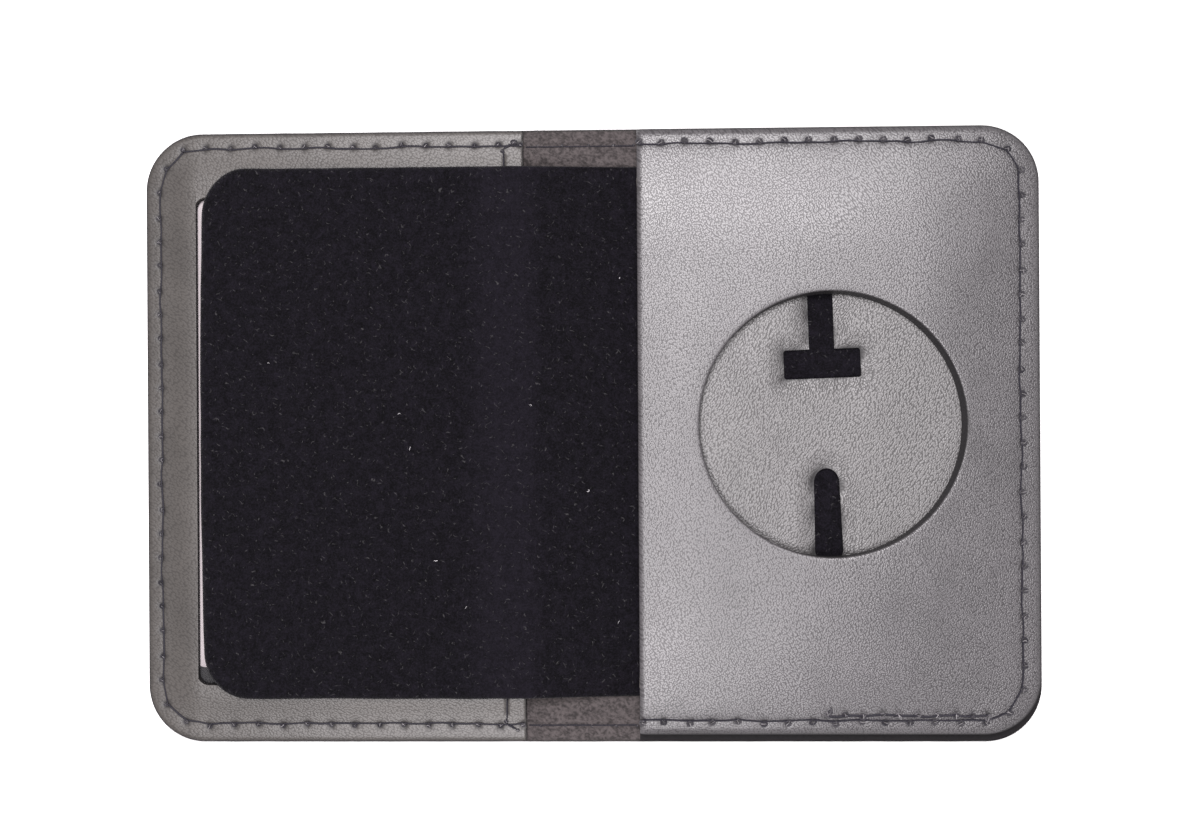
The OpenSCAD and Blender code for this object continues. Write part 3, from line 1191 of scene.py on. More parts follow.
@dataclass
class IdPocket:
    """The ID half's frame, window sheet and card.

    Attributes:
        layout: The case's places.
        seam: The seam round the ID half.
        rim_top: The height of the frame's sewn rim.
        top: The height of the frame round the window.
        under: The height of the frame's underside over the window sheet.
        window: The window's outline.
        pocket: The pocket's outline.
        cut_lean: How far the window's cut edge leans in at its foot.
        seam_x: The place of the seam beside the window.
        past_rise: The mark of the frame's points inside its sewn rim.
        insets: The nominal insets of the rim's rings.
        lip: How far on the way to the window each of the frame's inner rings is, and how far it drops.
    """

    layout: Layout
    seam: Seam
    rim_top: float = 2.95
    top: float = 3.76
    under: float = 2.68
    window: Outline = Outline(-69.5, -19.0, -43.5, 42.3, 2.0)
    pocket: Outline = Outline(-72.7, -11.6, -46.7, 45.5, 1.0)
    cut_lean: float = 0.2
    seam_x: float = -14.9
    past_rise: float = 9.5
    insets: tuple[float, ...] = (
        0.0, 0.05, 0.2, 0.5, 0.9, 1.4, 1.9, 2.3, 2.6, 2.82, 3.0, 3.18,
        3.4, 3.7, 4.1, 4.6, 5.2, 6.0, 6.9, 7.8, 8.6, 9.4,
    )
    lip: tuple[tuple[float, float], ...] = ((0.5, 0.0), (0.82, 0.0), (0.93, 0.03), (0.98, 0.1), (1.0, 0.3))

    def build(self) -> None:
        """Builds the frame, the window sheet and the card."""
        sewn = Piece("id_frame_leather", Finish.FRAME, "frame_leather", ("id_frame",), "id_half")
        sewn.make(self._frame())
        Piece("window_vinyl", Finish.VINYL, "clear_vinyl", ("id_window",), "id_half").make(self._vinyl())
        Piece("id_card_blank", Finish.CARD, "card_plastic", ("id_card",), "card").make(self._card())

    def height(self, inset: float) -> float:
        """Returns the frame's height at a distance from the case's outline."""
        edge = 0.2 * bell(inset, 0.35) + 0.07 * max(3.0 - inset, 0.0)
        return self.rim_top + (self.top - self.rim_top) * ramp01(inset, 2.6, 9.4) - edge

    def surface(self, y: float) -> float:
        """Returns the frame's height at a place up the case, in its arms or its inner strip."""
        rise = min(y - self.seam.foot_row, self.layout.head - y - self.seam.head_inset)
        return self.height(rise + self.layout.seam_inset)

    def _frame(self) -> bmesh.types.BMesh:
        """Builds the frame: a ring of leather cut off at the spine.

        Returns:
            The closed shell.
        """
        lay = self.layout
        counts = (200, 250, 34)
        rings = [(self.seam.drawn(inset), self.height(inset), inset) for inset in self.insets]
        wide = rings[-1][0]
        for share, drop in self.lip:
            rings.append((wide.toward(self.window, share), self.top - drop, self.past_rise))
        lip = self.window.drawn_in(self.cut_lean)
        room = self.pocket
        inner = Outline(room.left, wide.right + 2.0, room.foot, room.head, room.radius)
        rings += [
            (lip, self.under + 0.1, self.past_rise),
            (lip, self.under, self.past_rise),
            (inner, self.under, self.past_rise),
            (inner, lay.on_cover, self.past_rise),
            (self.seam.drawn(0.0), lay.on_cover, 0.0),
            (self.seam.drawn(0.0), lay.cover_top + 0.5, 0.0),
        ]
        loops = []
        for outline, z, inset in rings:
            ring = level(outline.ring(*counts), z)
            for p in ring if 0.0 < inset < 5.5 else ():
                p.z -= self.seam.pressed(p.x, p.y, inset - lay.seam_inset)[0]
                p.z += 0.03 * swell(p.x, p.y, 6.0) * ramp01(inset, 0.0, 1.0)
            loops.append(ring)
        bm = loft(loops, capped=False, marks=[inset for _, _, inset in rings])
        cut(bm, lay.id_edge, False)
        slice_at(bm, (self.seam_x + step for step in (-0.6, -0.3, 0.0, 0.3, 0.6)))
        slice_at(bm, (lay.id_edge - step for step in (0.1, 0.25, 0.5)))
        self._dress_frame(bm)
        return bm

    def _dress_frame(self, bm: bmesh.types.BMesh) -> None:
        """Presses the groove beside the window, rolls the open edge and marks what is dark.

        Args:
            bm: The frame.
        """
        lay = self.layout
        dark = bm.verts.layers.float.new("dark")
        layer = bm.verts.layers.float["inset"]
        for v in bm.verts:
            x, y, z = v.co
            inset = v[layer]
            shade = 0.0
            if z > self.rim_top - 1.0 and 0.4 < inset < 6:
                shade = self.seam.pressed(x, y, inset - lay.seam_inset)[1]
            if inset < 0.3:
                shade = max(shade, 1 - ramp01(inset, 0.02, 0.3))
            if z > self.under + 0.3 and abs(x - self.seam_x) < 0.9 and inset > 4.5:
                v.co.z -= 0.16 * bell(x - self.seam_x, 0.35)
                shade = max(shade, 0.35 * bell(x - self.seam_x, 0.3))
            if z > lay.cover_top + 0.3 and x > lay.id_edge - 0.3:
                roll = ramp01(x, lay.id_edge - 0.3, lay.id_edge)
                v.co.z -= 0.12 * roll
                v.co.x += 0.1 * swell(y, z * 3, 0.8, 4.0) * roll
                shade = max(shade, 0.7 * ramp01(x, lay.id_edge - 0.2, lay.id_edge))
            if z < self.top - 0.25 and inset > self.past_rise - 0.05:
                shade = max(shade, 0.9)
            v[dark] = shade

    def _vinyl(self) -> bmesh.types.BMesh:
        """Builds the window sheet with its slight waves.

        Returns:
            The closed sheet.
        """
        low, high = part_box("id_window")
        size = (high - low) / MM
        middle = (high + low) / 2 / MM
        columns, rows = 48, 60

        def place(column: int, row: int) -> Vector:
            """Gives the place of a point of the sheet.

            Args:
                column: The point's column.
                row: The point's row.

            Returns:
                The place.
            """
            x = middle.x + size.x * (column / columns - 0.5)
            y = middle.y + size.y * (row / rows - 0.5)
            return Vector((x, y, low.z / MM + 0.13 + 0.03 * swell(x, y, 14.0, 7.0)))

        bm = bmesh.new()
        lay_grid(bm, columns, rows, place)
        bmesh.ops.recalc_face_normals(bm, faces=bm.faces)
        bmesh.ops.solidify(bm, geom=[*bm.verts, *bm.edges, *bm.faces], thickness=0.16)
        return bm

    def _card(self) -> bmesh.types.BMesh:
        """Builds the card with its edges broken.

        Returns:
            The closed shell.
        """
        low, high = box_mm("id_card")
        corner, broken = 3.2, 0.12
        profile = (
            (2.0, low.z), (broken, low.z), (0.0, low.z + 0.1),
            (0.0, high.z - 0.1), (broken, high.z), (2.0, high.z),
        )
        return loft(stack(Outline(low.x, high.x, low.y, high.y, corner), profile, (8, 12, 10)), capped=True)


@dataclass
class BadgePanel:
    """The badge half: the padded face, and the base whose slots show in the recess.

    Attributes:
        layout: The case's places.
        seam: The seam round the badge half.
        rim_top: The height of the face's sewn rim.
        slope: How far in from the seam the pad reaches its full height.
        top: The height of the padded face.
        floor: The height of the recess's floor.
        base_under: The height of the base's underside.
        shift: How far left of the middle of the recess the slots lie.
        turn: The angle that the slots are turned by, in degrees.
        bar: The T slot's bar, from the middle of the recess.
        stem_half: Half the width of the T slot's stem.
        slot_half: Half the width of the U slot.
        slot_top: The middle of the U slot's round end.
        lip_r: The radius of the recess at its lip.
        insets: The nominal insets of the rings near the seam.
        lip: How far out of the lip each ring of its roll is, and how far it drops.
        lean: How far the wall of the recess leans at its foot.
    """

    layout: Layout
    seam: Seam
    rim_top: float = 4.85
    slope: float = 19.0
    top: float = 6.2
    floor: float = 3.5
    base_under: float = 2.42
    shift: float = 1.2
    turn: float = 1.8
    bar: tuple[float, float, float, float] = (-6.7, 6.7, 8.0, 13.1)
    stem_half: float = 2.2
    slot_half: float = 2.5
    slot_top: float = -10.2
    lip_r: float = 23.05
    insets: tuple[float, ...] = (
        0.0, 0.06, 0.25, 0.6, 1.1, 1.6, 2.1, 2.45, 2.7, 2.87, 3.0,
        3.13, 3.3, 3.55, 3.9, 4.4, 5.1, 6.0, 7.0, 8.0, 9.0,
    )
    lip: tuple[tuple[float, float], ...] = (
        (0.7, 0.0), (0.4, 0.02), (0.2, 0.06), (0.09, 0.13), (0.02, 0.24), (0.0, 0.4),
    )
    lean: tuple[float, float] = (-0.35, -0.15)

    @property
    def reach(self) -> float:
        """How far from the middle of the recess the slots run on."""
        return self.layout.recess_r + 1

    def build(self) -> None:
        """Builds the face and the base, and finishes the pad."""
        face = Piece("badge_face_leather", Finish.FACE, "face_leather", ("badge_face",), "badge_half")
        face.make(self._face())
        base = Piece(
            "badge_base_leather", Finish.FLOOR, "floor_leather", ("badge_base",), "badge_half", sharp=60
        )
        base.make(self._base())
        finish_node("badge_pad", Finish.BOARD)

    def height(self, inset: float) -> float:
        """Returns the height of the face's sewn edge at a nominal inset."""
        return self.rim_top - 0.5 * bell(inset, 0.6) - 0.1 * max(3.0 - inset, 0.0)

    def _swelling(self, x: float, y: float, inset: float) -> float:
        """Tells how high the pad lifts the face.

        Args:
            x: Place across the case.
            y: Place up the case.
            inset: The nominal inset.

        Returns:
            The lift.
        """
        lay = self.layout
        line = self.seam.drawn(lay.seam_inset)
        crown = 0.9 + 0.1 * min(max((x - lay.badge_edge) / 9.0, 0.0), 1.0)
        for gap in (line.right - x, y - line.foot, line.head - y):
            t = min(max(gap / self.slope, 0.0), 1.0)
            crown *= 1 - (1 - t) ** 2
        uneven = 0.04 * swell(x, y, 16.0, 5.0) * ramp01(inset, 3.0, 9.0)
        return (self.top - self.rim_top - 0.02) * crown + uneven

    def surface(self, x: float, y: float, inset: float) -> float:
        """Returns the height of the face at a place near its sewn edge."""
        return self.height(inset) + self._swelling(x, y, inset)

    def _circle(self, ring: Sequence[Vector], radius: float, lean: float = 0.0) -> list[Vector]:
        """Draws a circle round the recess that faces a ring.

        Args:
            ring: The ring.
            radius: The circle's radius.
            lean: The share of the wall's lean that the circle is shifted by.

        Returns:
            A point of the circle for each of the ring's.
        """
        centre = Vector((*self.layout.recess, 0))
        shift = Vector((*self.lean, 0)) * lean
        return [centre + shift + (Vector((p.x, p.y, 0)) - centre).normalized() * radius for p in ring]

    def _face(self) -> bmesh.types.BMesh:
        """Builds the padded face, from the sewn edge over the pad to the recess.

        Returns:
            The closed shell.
        """
        lay = self.layout
        counts = (230, 260, 36)
        steps = 29
        on_base, on_pad = self.floor + 0.02, self.top - 1.2
        loops = []

        def add(
            ring: list[Vector], z: Optional[float] = None, inset: float = PAST_SEAM, drop: float = 0.0
        ) -> None:
            """Adds a ring.

            Args:
                ring: The ring's points.
                z: Its height, or None for a ring that lies on the face.
                inset: Its nominal inset.
                drop: How far under the face it lies.
            """
            loops.append((ring, z, inset, drop))

        for inset in self.insets:
            add(self.seam.drawn(inset).ring(*counts), inset=inset)
        outer = loops[-1][0]
        rim = self._circle(outer, lay.recess_r + 1.6)
        for i in range(1, steps + 1):
            add([a.lerp(b, i / steps) for a, b in zip(outer, rim)], inset=9.0 + i * 0.1)
        for out, drop in self.lip:
            add(self._circle(outer, self.lip_r + out), drop=drop)
        for z, out in ((5.0, -0.05), (4.2, -0.12), (on_base, -0.2)):
            add(self._circle(outer, self.lip_r + out, 1.0 - (z - self.floor) / 3), z)
        for z in (on_base, on_pad):
            add(self._circle(outer, lay.recess_r + 0.35), z)
        add(self.seam.drawn(12.0).ring(*counts), on_pad)
        add(self.seam.drawn(4.3).ring(*counts), on_base)
        add(self.seam.drawn(0.0).ring(*counts), on_base, 0.0)
        for ring, z, inset, drop in loops:
            for p in ring:
                p.z = self.surface(p.x, p.y, inset) - drop if z is None else z
                if 0.0 < inset < 9.1:
                    share = ramp01(inset, 0.0, 1.0)
                    p.z += 0.05 * swell(p.x, p.y, 5.0, 3.0) * share * (1 - ramp01(inset, 5.0, 9.0))
                if 0.0 < inset < 5.2:
                    p.z -= self.seam.pressed(p.x, p.y, inset - lay.seam_inset)[0]
        bm = loft([loop[0] for loop in loops], capped=False, marks=[loop[2] for loop in loops])
        cut(bm, lay.badge_edge, True)
        slice_at(bm, (lay.badge_edge + step for step in (0.06, 0.15, 0.3, 0.5, 0.8, 1.2, 1.8)))
        self._dress_face(bm)
        return bm

    def _dress_face(self, bm: bmesh.types.BMesh) -> None:
        """Rolls the free edge over and marks what is dark and what is drawn.

        Args:
            bm: The face.
        """
        lay = self.layout
        roll = 1.2
        dark = bm.verts.layers.float.new("dark")
        stress = bm.verts.layers.float.new("stress")
        layer = bm.verts.layers.float["inset"]
        for v in bm.verts:
            x, y, z = v.co
            inset = v[layer]
            from_edge = x - lay.badge_edge
            if z > self.floor + 0.5 and from_edge < roll:
                v.co.z -= 0.55 * (1 - math.sqrt(max(0.0, 1 - (1 - from_edge / roll) ** 2)))
            shade = 0.0
            if 0.4 < inset < 6:
                shade = self.seam.pressed(x, y, inset - lay.seam_inset)[1]
            if inset < 0.35:
                shade = max(shade, 1 - ramp01(inset, 0.05, 0.35))
            if lay.from_recess(x, y) < lay.recess_r + 0.3 and z < self.top - 0.4:
                shade = max(shade, 0.7)
            if z < self.rim_top - 0.9:
                shade = max(shade, 0.8)
            v[dark] = shade
            v[stress] = 0.9 * ramp01(x - 0.3 * y, 38.0, 66.0) + 0.3 * bell(inset - 3.2, 1.6)

    def _slot_distance(self, x: float, y: float) -> float:
        """Measures from a place to the nearest slot's edge.

        Args:
            x: Place across the case.
            y: Place up the case.

        Returns:
            The distance, less than 0 inside a slot.
        """
        turn = -math.radians(self.turn)
        dx, dy = x - self.layout.recess[0] + self.shift, y - self.layout.recess[1]
        u = dx * math.cos(turn) - dy * math.sin(turn)
        v = dx * math.sin(turn) + dy * math.cos(turn)

        def from_box(x0: float, x1: float, y0: float, y1: float) -> float:
            """Measures from the place to a box.

            Args:
                x0: The box's left side.
                x1: Its right side.
                y0: Its foot.
                y1: Its head.

            Returns:
                The distance, less than 0 inside the box.
            """
            qx = abs(u - (x0 + x1) / 2) - (x1 - x0) / 2
            qy = abs(v - (y0 + y1) / 2) - (y1 - y0) / 2
            return math.hypot(max(qx, 0), max(qy, 0)) + min(max(qx, qy), 0)

        return min(
            from_box(*self.bar),
            from_box(-self.stem_half, self.stem_half, self.bar[2], self.reach),
            from_box(-self.slot_half, self.slot_half, -self.reach, self.slot_top),
            math.hypot(u, v - self.slot_top) - self.slot_half,
        )

    def _cutter(self) -> bpy.types.Object:
        """Builds the slots' shapes as a solid to cut with.

        Returns:
            The object, in millimetres.
        """
        lay = self.layout
        half = self.slot_half
        shapes = (
            Outline(*self.bar, 0.5),
            Outline(-self.stem_half, self.stem_half, 10, self.reach, 0.3),
            Outline(-half, half, -self.reach, self.slot_top + half, half - 0.01),
        )
        bm = bmesh.new()
        for outline in shapes:
            ring = outline.ring(6, 6, 8)
            for p in ring:
                p.x *= 1 - 0.008 * (p.y + self.reach) if p.y < 0 else 1
            face = bm.faces.new([bm.verts.new(p) for p in ring])
            solid = bmesh.ops.extrude_face_region(bm, geom=[face])["geom"]
            verts = [e for e in solid if isinstance(e, bmesh.types.BMVert)]
            bmesh.ops.translate(bm, verts=verts, vec=(0, 0, 4))
        bmesh.ops.recalc_face_normals(bm, faces=bm.faces)
        where = Matrix.Translation((lay.recess[0] - self.shift, lay.recess[1], 0.9))
        turn = Matrix.Rotation(math.radians(self.turn), 4, "Z")
        bmesh.ops.transform(bm, matrix=where @ turn, verts=bm.verts)
        return as_object("slot_shapes", bm)

    def _base(self) -> bmesh.types.BMesh:
        """Builds the base: a sewn edge, a fine floor in the recess, and the slots pressed and cut, with
        painted shade round the slots and by the wall.

        Returns:
            The closed shell.
        """
        lay = self.layout
        counts = (90, 120, 12)
        profile = (
            (8.5, self.base_under), (4.5, self.base_under), (4.5, lay.on_cover), (0.02, lay.on_cover),
            (0.0, 2.4), (0.02, self.floor - 0.03), (0.1, self.floor),
        )
        loops = [level(self.seam.drawn(inset).ring(*counts), z) for inset, z in profile]
        outer = loops[-1]
        steps = 64
        for i in range(steps):
            loops.append(level(self._circle(outer, (lay.recess_r + 1.4) * (1 - i / steps)), self.floor))
        bm = loft(loops, capped=True)
        cut(bm, lay.badge_edge, True)
        whole = self._slotted(bm)
        dark = whole.verts.layers.float.new("dark")
        stress = whole.verts.layers.float.new("stress")
        for v in whole.verts:
            x, y, z = v.co
            away = lay.from_recess(x, y)
            if away < lay.recess_r + 1.5 and z > self.base_under + 0.05:
                gap = max(self._slot_distance(x, y), 0.0)
                uneven = 0.55 + 0.9 * swell(x, y, 3.2, 4.0)
                v.co.z -= 0.35 * uneven * bell(gap, 0.8) + 0.12 * (1 - ramp01(gap, 0.8, 3.4))
                v.co.z += 0.04 * swell(x, y, 7.0, 9.0) + 0.07 * swell(x, y, 1.3, 5.0) * bell(gap, 2.2)
                v.co.z -= 0.1 * ramp01(away, lay.recess_r - 1.2, lay.recess_r)
                # Painted shade: dark at the slots' edges, partly their dark cut edges, in a halo round the
                # slots, and on the floor along the foot of the recess wall.
                wall_shade = ramp01(away, lay.recess_r - 0.6, lay.recess_r)
                v[dark] = 0.9 * uneven * bell(gap, 0.4) + 0.3 * wall_shade
                v[dark] += 0.22 * uneven * bell(gap - 0.8, 1.5)
                v[stress] = 0.5 + 0.5 * bell(gap - 1.5, 1.3)
            else:
                v[dark] = 1.0
        return whole

    def _slotted(self, bm: bmesh.types.BMesh) -> bmesh.types.BMesh:
        """Cuts the slots out of the base.

        Args:
            bm: The base, which is freed.

        Returns:
            The base with its slots.
        """
        blank = as_object("base_blank", bm)
        cutter = self._cutter()
        modifier = blank.modifiers.new("slots", "BOOLEAN")
        modifier.operation = "DIFFERENCE"
        modifier.solver = "EXACT"
        modifier.use_self = True
        modifier.object = cutter
        bpy.context.view_layer.update()
        result = bmesh.new()
        result.from_object(blank, bpy.context.evaluated_depsgraph_get())
        for made in (blank, cutter):
            bpy.data.objects.remove(made)
        return result


@dataclass
class VelvetFlap:
    """The velvet: the flap over the window, the band over the spine and the lining under the badge panel.

    Attributes:
        layout: The case's places.
        left: The place of the flap's free edge.
        foot: The place of the flap's foot.
        head: The place of the flap's head.
        corner: The radius of the flap's free corners.
        crease: Where the flap creases as it is lifted.
        top: The height of the flap's upper side.
        landing: The height of the band's upper side where it meets the badge panel.
        bright: How pale a fibre is that is drawn larger.
        top_profile: Insets and heights of the upper cloth, turned down round the board.
        back_profile: Insets and heights of the lower cloth, against the frame.
        lining_profile: Insets and heights of the lining under the badge panel.
    """

    layout: Layout
    left: float = -68.7
    foot: float = -45.8
    head: float = 47.2
    corner: float = 8.0
    crease: float = -15.0
    top: float = 5.36
    landing: float = 2.4
    bright: float = 0.3
    top_profile: tuple[tuple[float, float], ...] = (
        (5.0, 4.88), (1.7, 4.88), (1.15, 4.86), (1.0, 4.6), (0.85, 4.42), (0.3, 4.4), (0.06, 4.55),
        (0.0, 4.8), (0.1, 5.05), (0.35, 5.24), (0.8, 5.33), (1.6, 5.36), (3.0, 5.36), (5.0, 5.36),
    )
    back_profile: tuple[tuple[float, float], ...] = (
        (5.0, 3.87), (1.6, 3.87), (0.5, 3.9), (0.15, 4.02),
        (0.08, 4.2), (0.3, 4.34), (0.9, 4.35), (5.0, 4.35),
    )
    lining_profile: tuple[tuple[float, float], ...] = (
        (3.0, 1.42), (0.4, 1.42), (0.08, 1.55), (0.0, 1.9), (0.1, 2.25), (0.4, 2.39), (3.0, 2.4),
    )

    def build(self) -> None:
        """Builds the cloths and their lint, and finishes the board."""
        lay = self.layout
        height = (self.head - self.foot) * MM
        leaf = ((self.crease - self.left) * MM, height)
        top = Piece("flap_top_cloth", Finish.VELVET, "velvet", ("flap_velvet_top",), "flap")
        top_cloth = top.make(self._leaf(self.top_profile))
        back = Piece("flap_back_cloth", Finish.VELVET, "velvet", ("flap_velvet_back",), "flap")
        back_cloth = back.make(self._leaf(self.back_profile))
        finish_node("flap_board", Finish.BOARD)
        bend = ("id_half", "flap", lay.id_edge, self.crease)
        crease = Piece("flap_crease", Finish.VELVET, "velvet", bend=bend)
        crease_cloth = crease.make(self._strip(self.crease, lay.id_edge))
        near = Piece("flap_band_left", Finish.VELVET, "velvet", ("flap_band",), bend=lay.bend_left)
        near_band = near.make(self._strip(lay.id_edge, lay.spine_cut))
        far = Piece("flap_band_right", Finish.VELVET, "velvet", ("flap_band",), bend=lay.bend_right)
        far_band = far.make(self._strip(lay.spine_cut, lay.badge_edge))
        lining = Piece("velvet_lining", Finish.VELVET, "velvet", ("flap_anchor",), "badge_half")
        lining.make(self._lining())
        self._lint()

    def _bow(self, p: Vector) -> None:
        """Bows a point of the flap's free edge in a little, as the real one is, and frays it.

        Args:
            p: The point.
        """
        share = 1 - ((p.y - (self.head + self.foot) / 2) / 46.5) ** 2
        p.x += (0.92 - 0.66 * share) * (1 - ramp01(p.x, self.left, self.left + 12))
        edge = 1 - ramp01(min(self.head - p.y, p.y - self.foot, p.x - self.left), 0.0, 2.0)
        p.y += 0.1 * swell(p.x, p.y, 7.0, 1.0) * edge
        p.x += 0.08 * swell(p.x, p.y, 6.0, 6.0) * edge

    def _leaf(self, profile: Sequence[tuple[float, float]]) -> bmesh.types.BMesh:
        """Builds a cloth of the flap.

        Args:
            profile: Its insets and heights.

        Returns:
            The closed shell.
        """
        reach = Outline(self.left, self.crease + 12.0, self.foot, self.head, self.corner)
        rings = stack(reach, profile, (70, 86, 16))
        for (inset, z), ring in zip(profile, rings):
            for p in ring:
                p.z = z + (0.03 * swell(p.x, p.y, 9.0, 8.0) if inset > 1.5 and z > 5 else 0.0)
                self._bow(p)
        bm = loft(rings, capped=True)
        cut(bm, self.crease, False)
        # Painted light: paler towards the crease, where the cloth tilts.
        bend_light = bm.verts.layers.float.new("bend_light")
        slice_at(bm, (self.crease - step for step in (2.0, 4.0, 6.0, 8.0)))
        for v in bm.verts:
            v[bend_light] = ramp01(v.co.x, self.crease - 8.0, self.crease - 2.0)
        return bm

    def _height(self, x: float) -> float:
        """Returns the height of the velvet's upper side, on its way down to the badge panel."""
        return self.top + (self.landing - self.top) * ramp01(x, self.crease, self.layout.badge_edge)

    def _strip(self, start: float, end: float) -> bmesh.types.BMesh:
        """Builds the velvet between two places across the case, thin enough to clear the card.

        Args:
            start: Where it starts.
            end: Where it ends.

        Returns:
            The closed shell.
        """
        lay = self.layout
        rings = []
        steps = max(10, round((end - start) / 0.55))
        for i in range(steps + 1):
            x = start + (end - start) * i / steps
            high = self._height(x)
            low = high - 1.49 + 0.69 * ramp01(x, self.crease, -1.0) - 0.18 * ramp01(x, 1.0, lay.badge_edge)
            radius = min(0.45, (high - low) / 2 - 0.03)
            ring = Outline(self.foot, self.head, low, high, radius).ring(60, 2, 4)
            rings.append([Vector((x, p.x, p.y + 0.04 * swell(x, p.x, 8.0, 8.0))) for p in ring])
        bm = loft(rings, capped=True)
        # Painted light: paler where the band tilts over the frame's edge.
        bend_light = bm.verts.layers.float.new("bend_light")
        for v in bm.verts:
            v[bend_light] = 1 - ramp01(v.co.x, lay.id_edge, lay.id_edge + 4.0)
        return bm

    def _lining(self) -> bmesh.types.BMesh:
        """Builds the velvet under the badge panel.

        Returns:
            The closed shell.
        """
        low, high = box_mm("flap_anchor")
        reach = Outline(low.x - 12, high.x, low.y, high.y, 6.0)
        bm = loft(stack(reach, self.lining_profile, (30, 40, 8)), capped=True)
        cut(bm, low.x, True)
        return bm

    def _lint(self) -> None:
        """Strews short fibres over the velvet: a few bright ones in their places, and many dull ones."""
        chance = random.Random(5)
        lay = self.layout
        on_flap = (
            (-27.4, -21.6, 0.9), (-33.0, 4.0, 0.5), (-56.0, 13.0, 0.45),
            (-31.5, -2.4, 0.5), (-22.0, -30.0, 0.4),
        )
        on_left = ((-0.7, -9.8, 1.0), (-10.3, 5.2, 0.5))
        on_right = ((5.2, 27.5, 0.8), (4.6, -33.0, 0.4))
        rows = (
            ("lint_flap", "flap", None, self.left + 2, self.crease, 80, on_flap),
            ("lint_band_left", "", lay.bend_left, lay.id_edge, lay.spine_cut, 12, on_left),
            ("lint_band_right", "", lay.bend_right, lay.spine_cut, lay.badge_edge, 9, on_right),
        )
        for name, body, bend, low, high, count, marked in rows:
            bm = bmesh.new()
            spots = list(marked)
            for _ in range(count):
                x, y = chance.uniform(low, high), chance.uniform(self.foot + 2, self.head - 2)
                spots.append((x, y, chance.uniform(0.0, 0.06)))
            for x, y, pale in spots:
                self._fibre(bm, chance, x, y, pale)
            Piece(name, Finish.LINT, "velvet", (), body, bend).make(bm)

    def _fibre(self, bm: bmesh.types.BMesh, chance: random.Random, x: float, y: float, pale: float) -> None:
        """Lays one fibre on the velvet.

        Args:
            bm: The mesh that it is added to.
            chance: What its curl is drawn from.
            x: Where it starts across the case.
            y: Where it starts up the case.
            pale: How pale it is, from 0 to 1.
        """
        bright = pale > self.bright
        heading = chance.uniform(0, 2 * math.pi)
        step = chance.uniform(0.07, 0.16) * (1.4 if bright else 1.0)
        points = []
        for _ in range(5):
            points.append(Vector((x, y, self._height(x) + 0.07)))
            heading += chance.uniform(-1.4, 1.4)
            x += step * math.cos(heading)
            y += step * math.sin(heading)
        strand(bm, points, 0.06 if bright else 0.035, 3, pale)


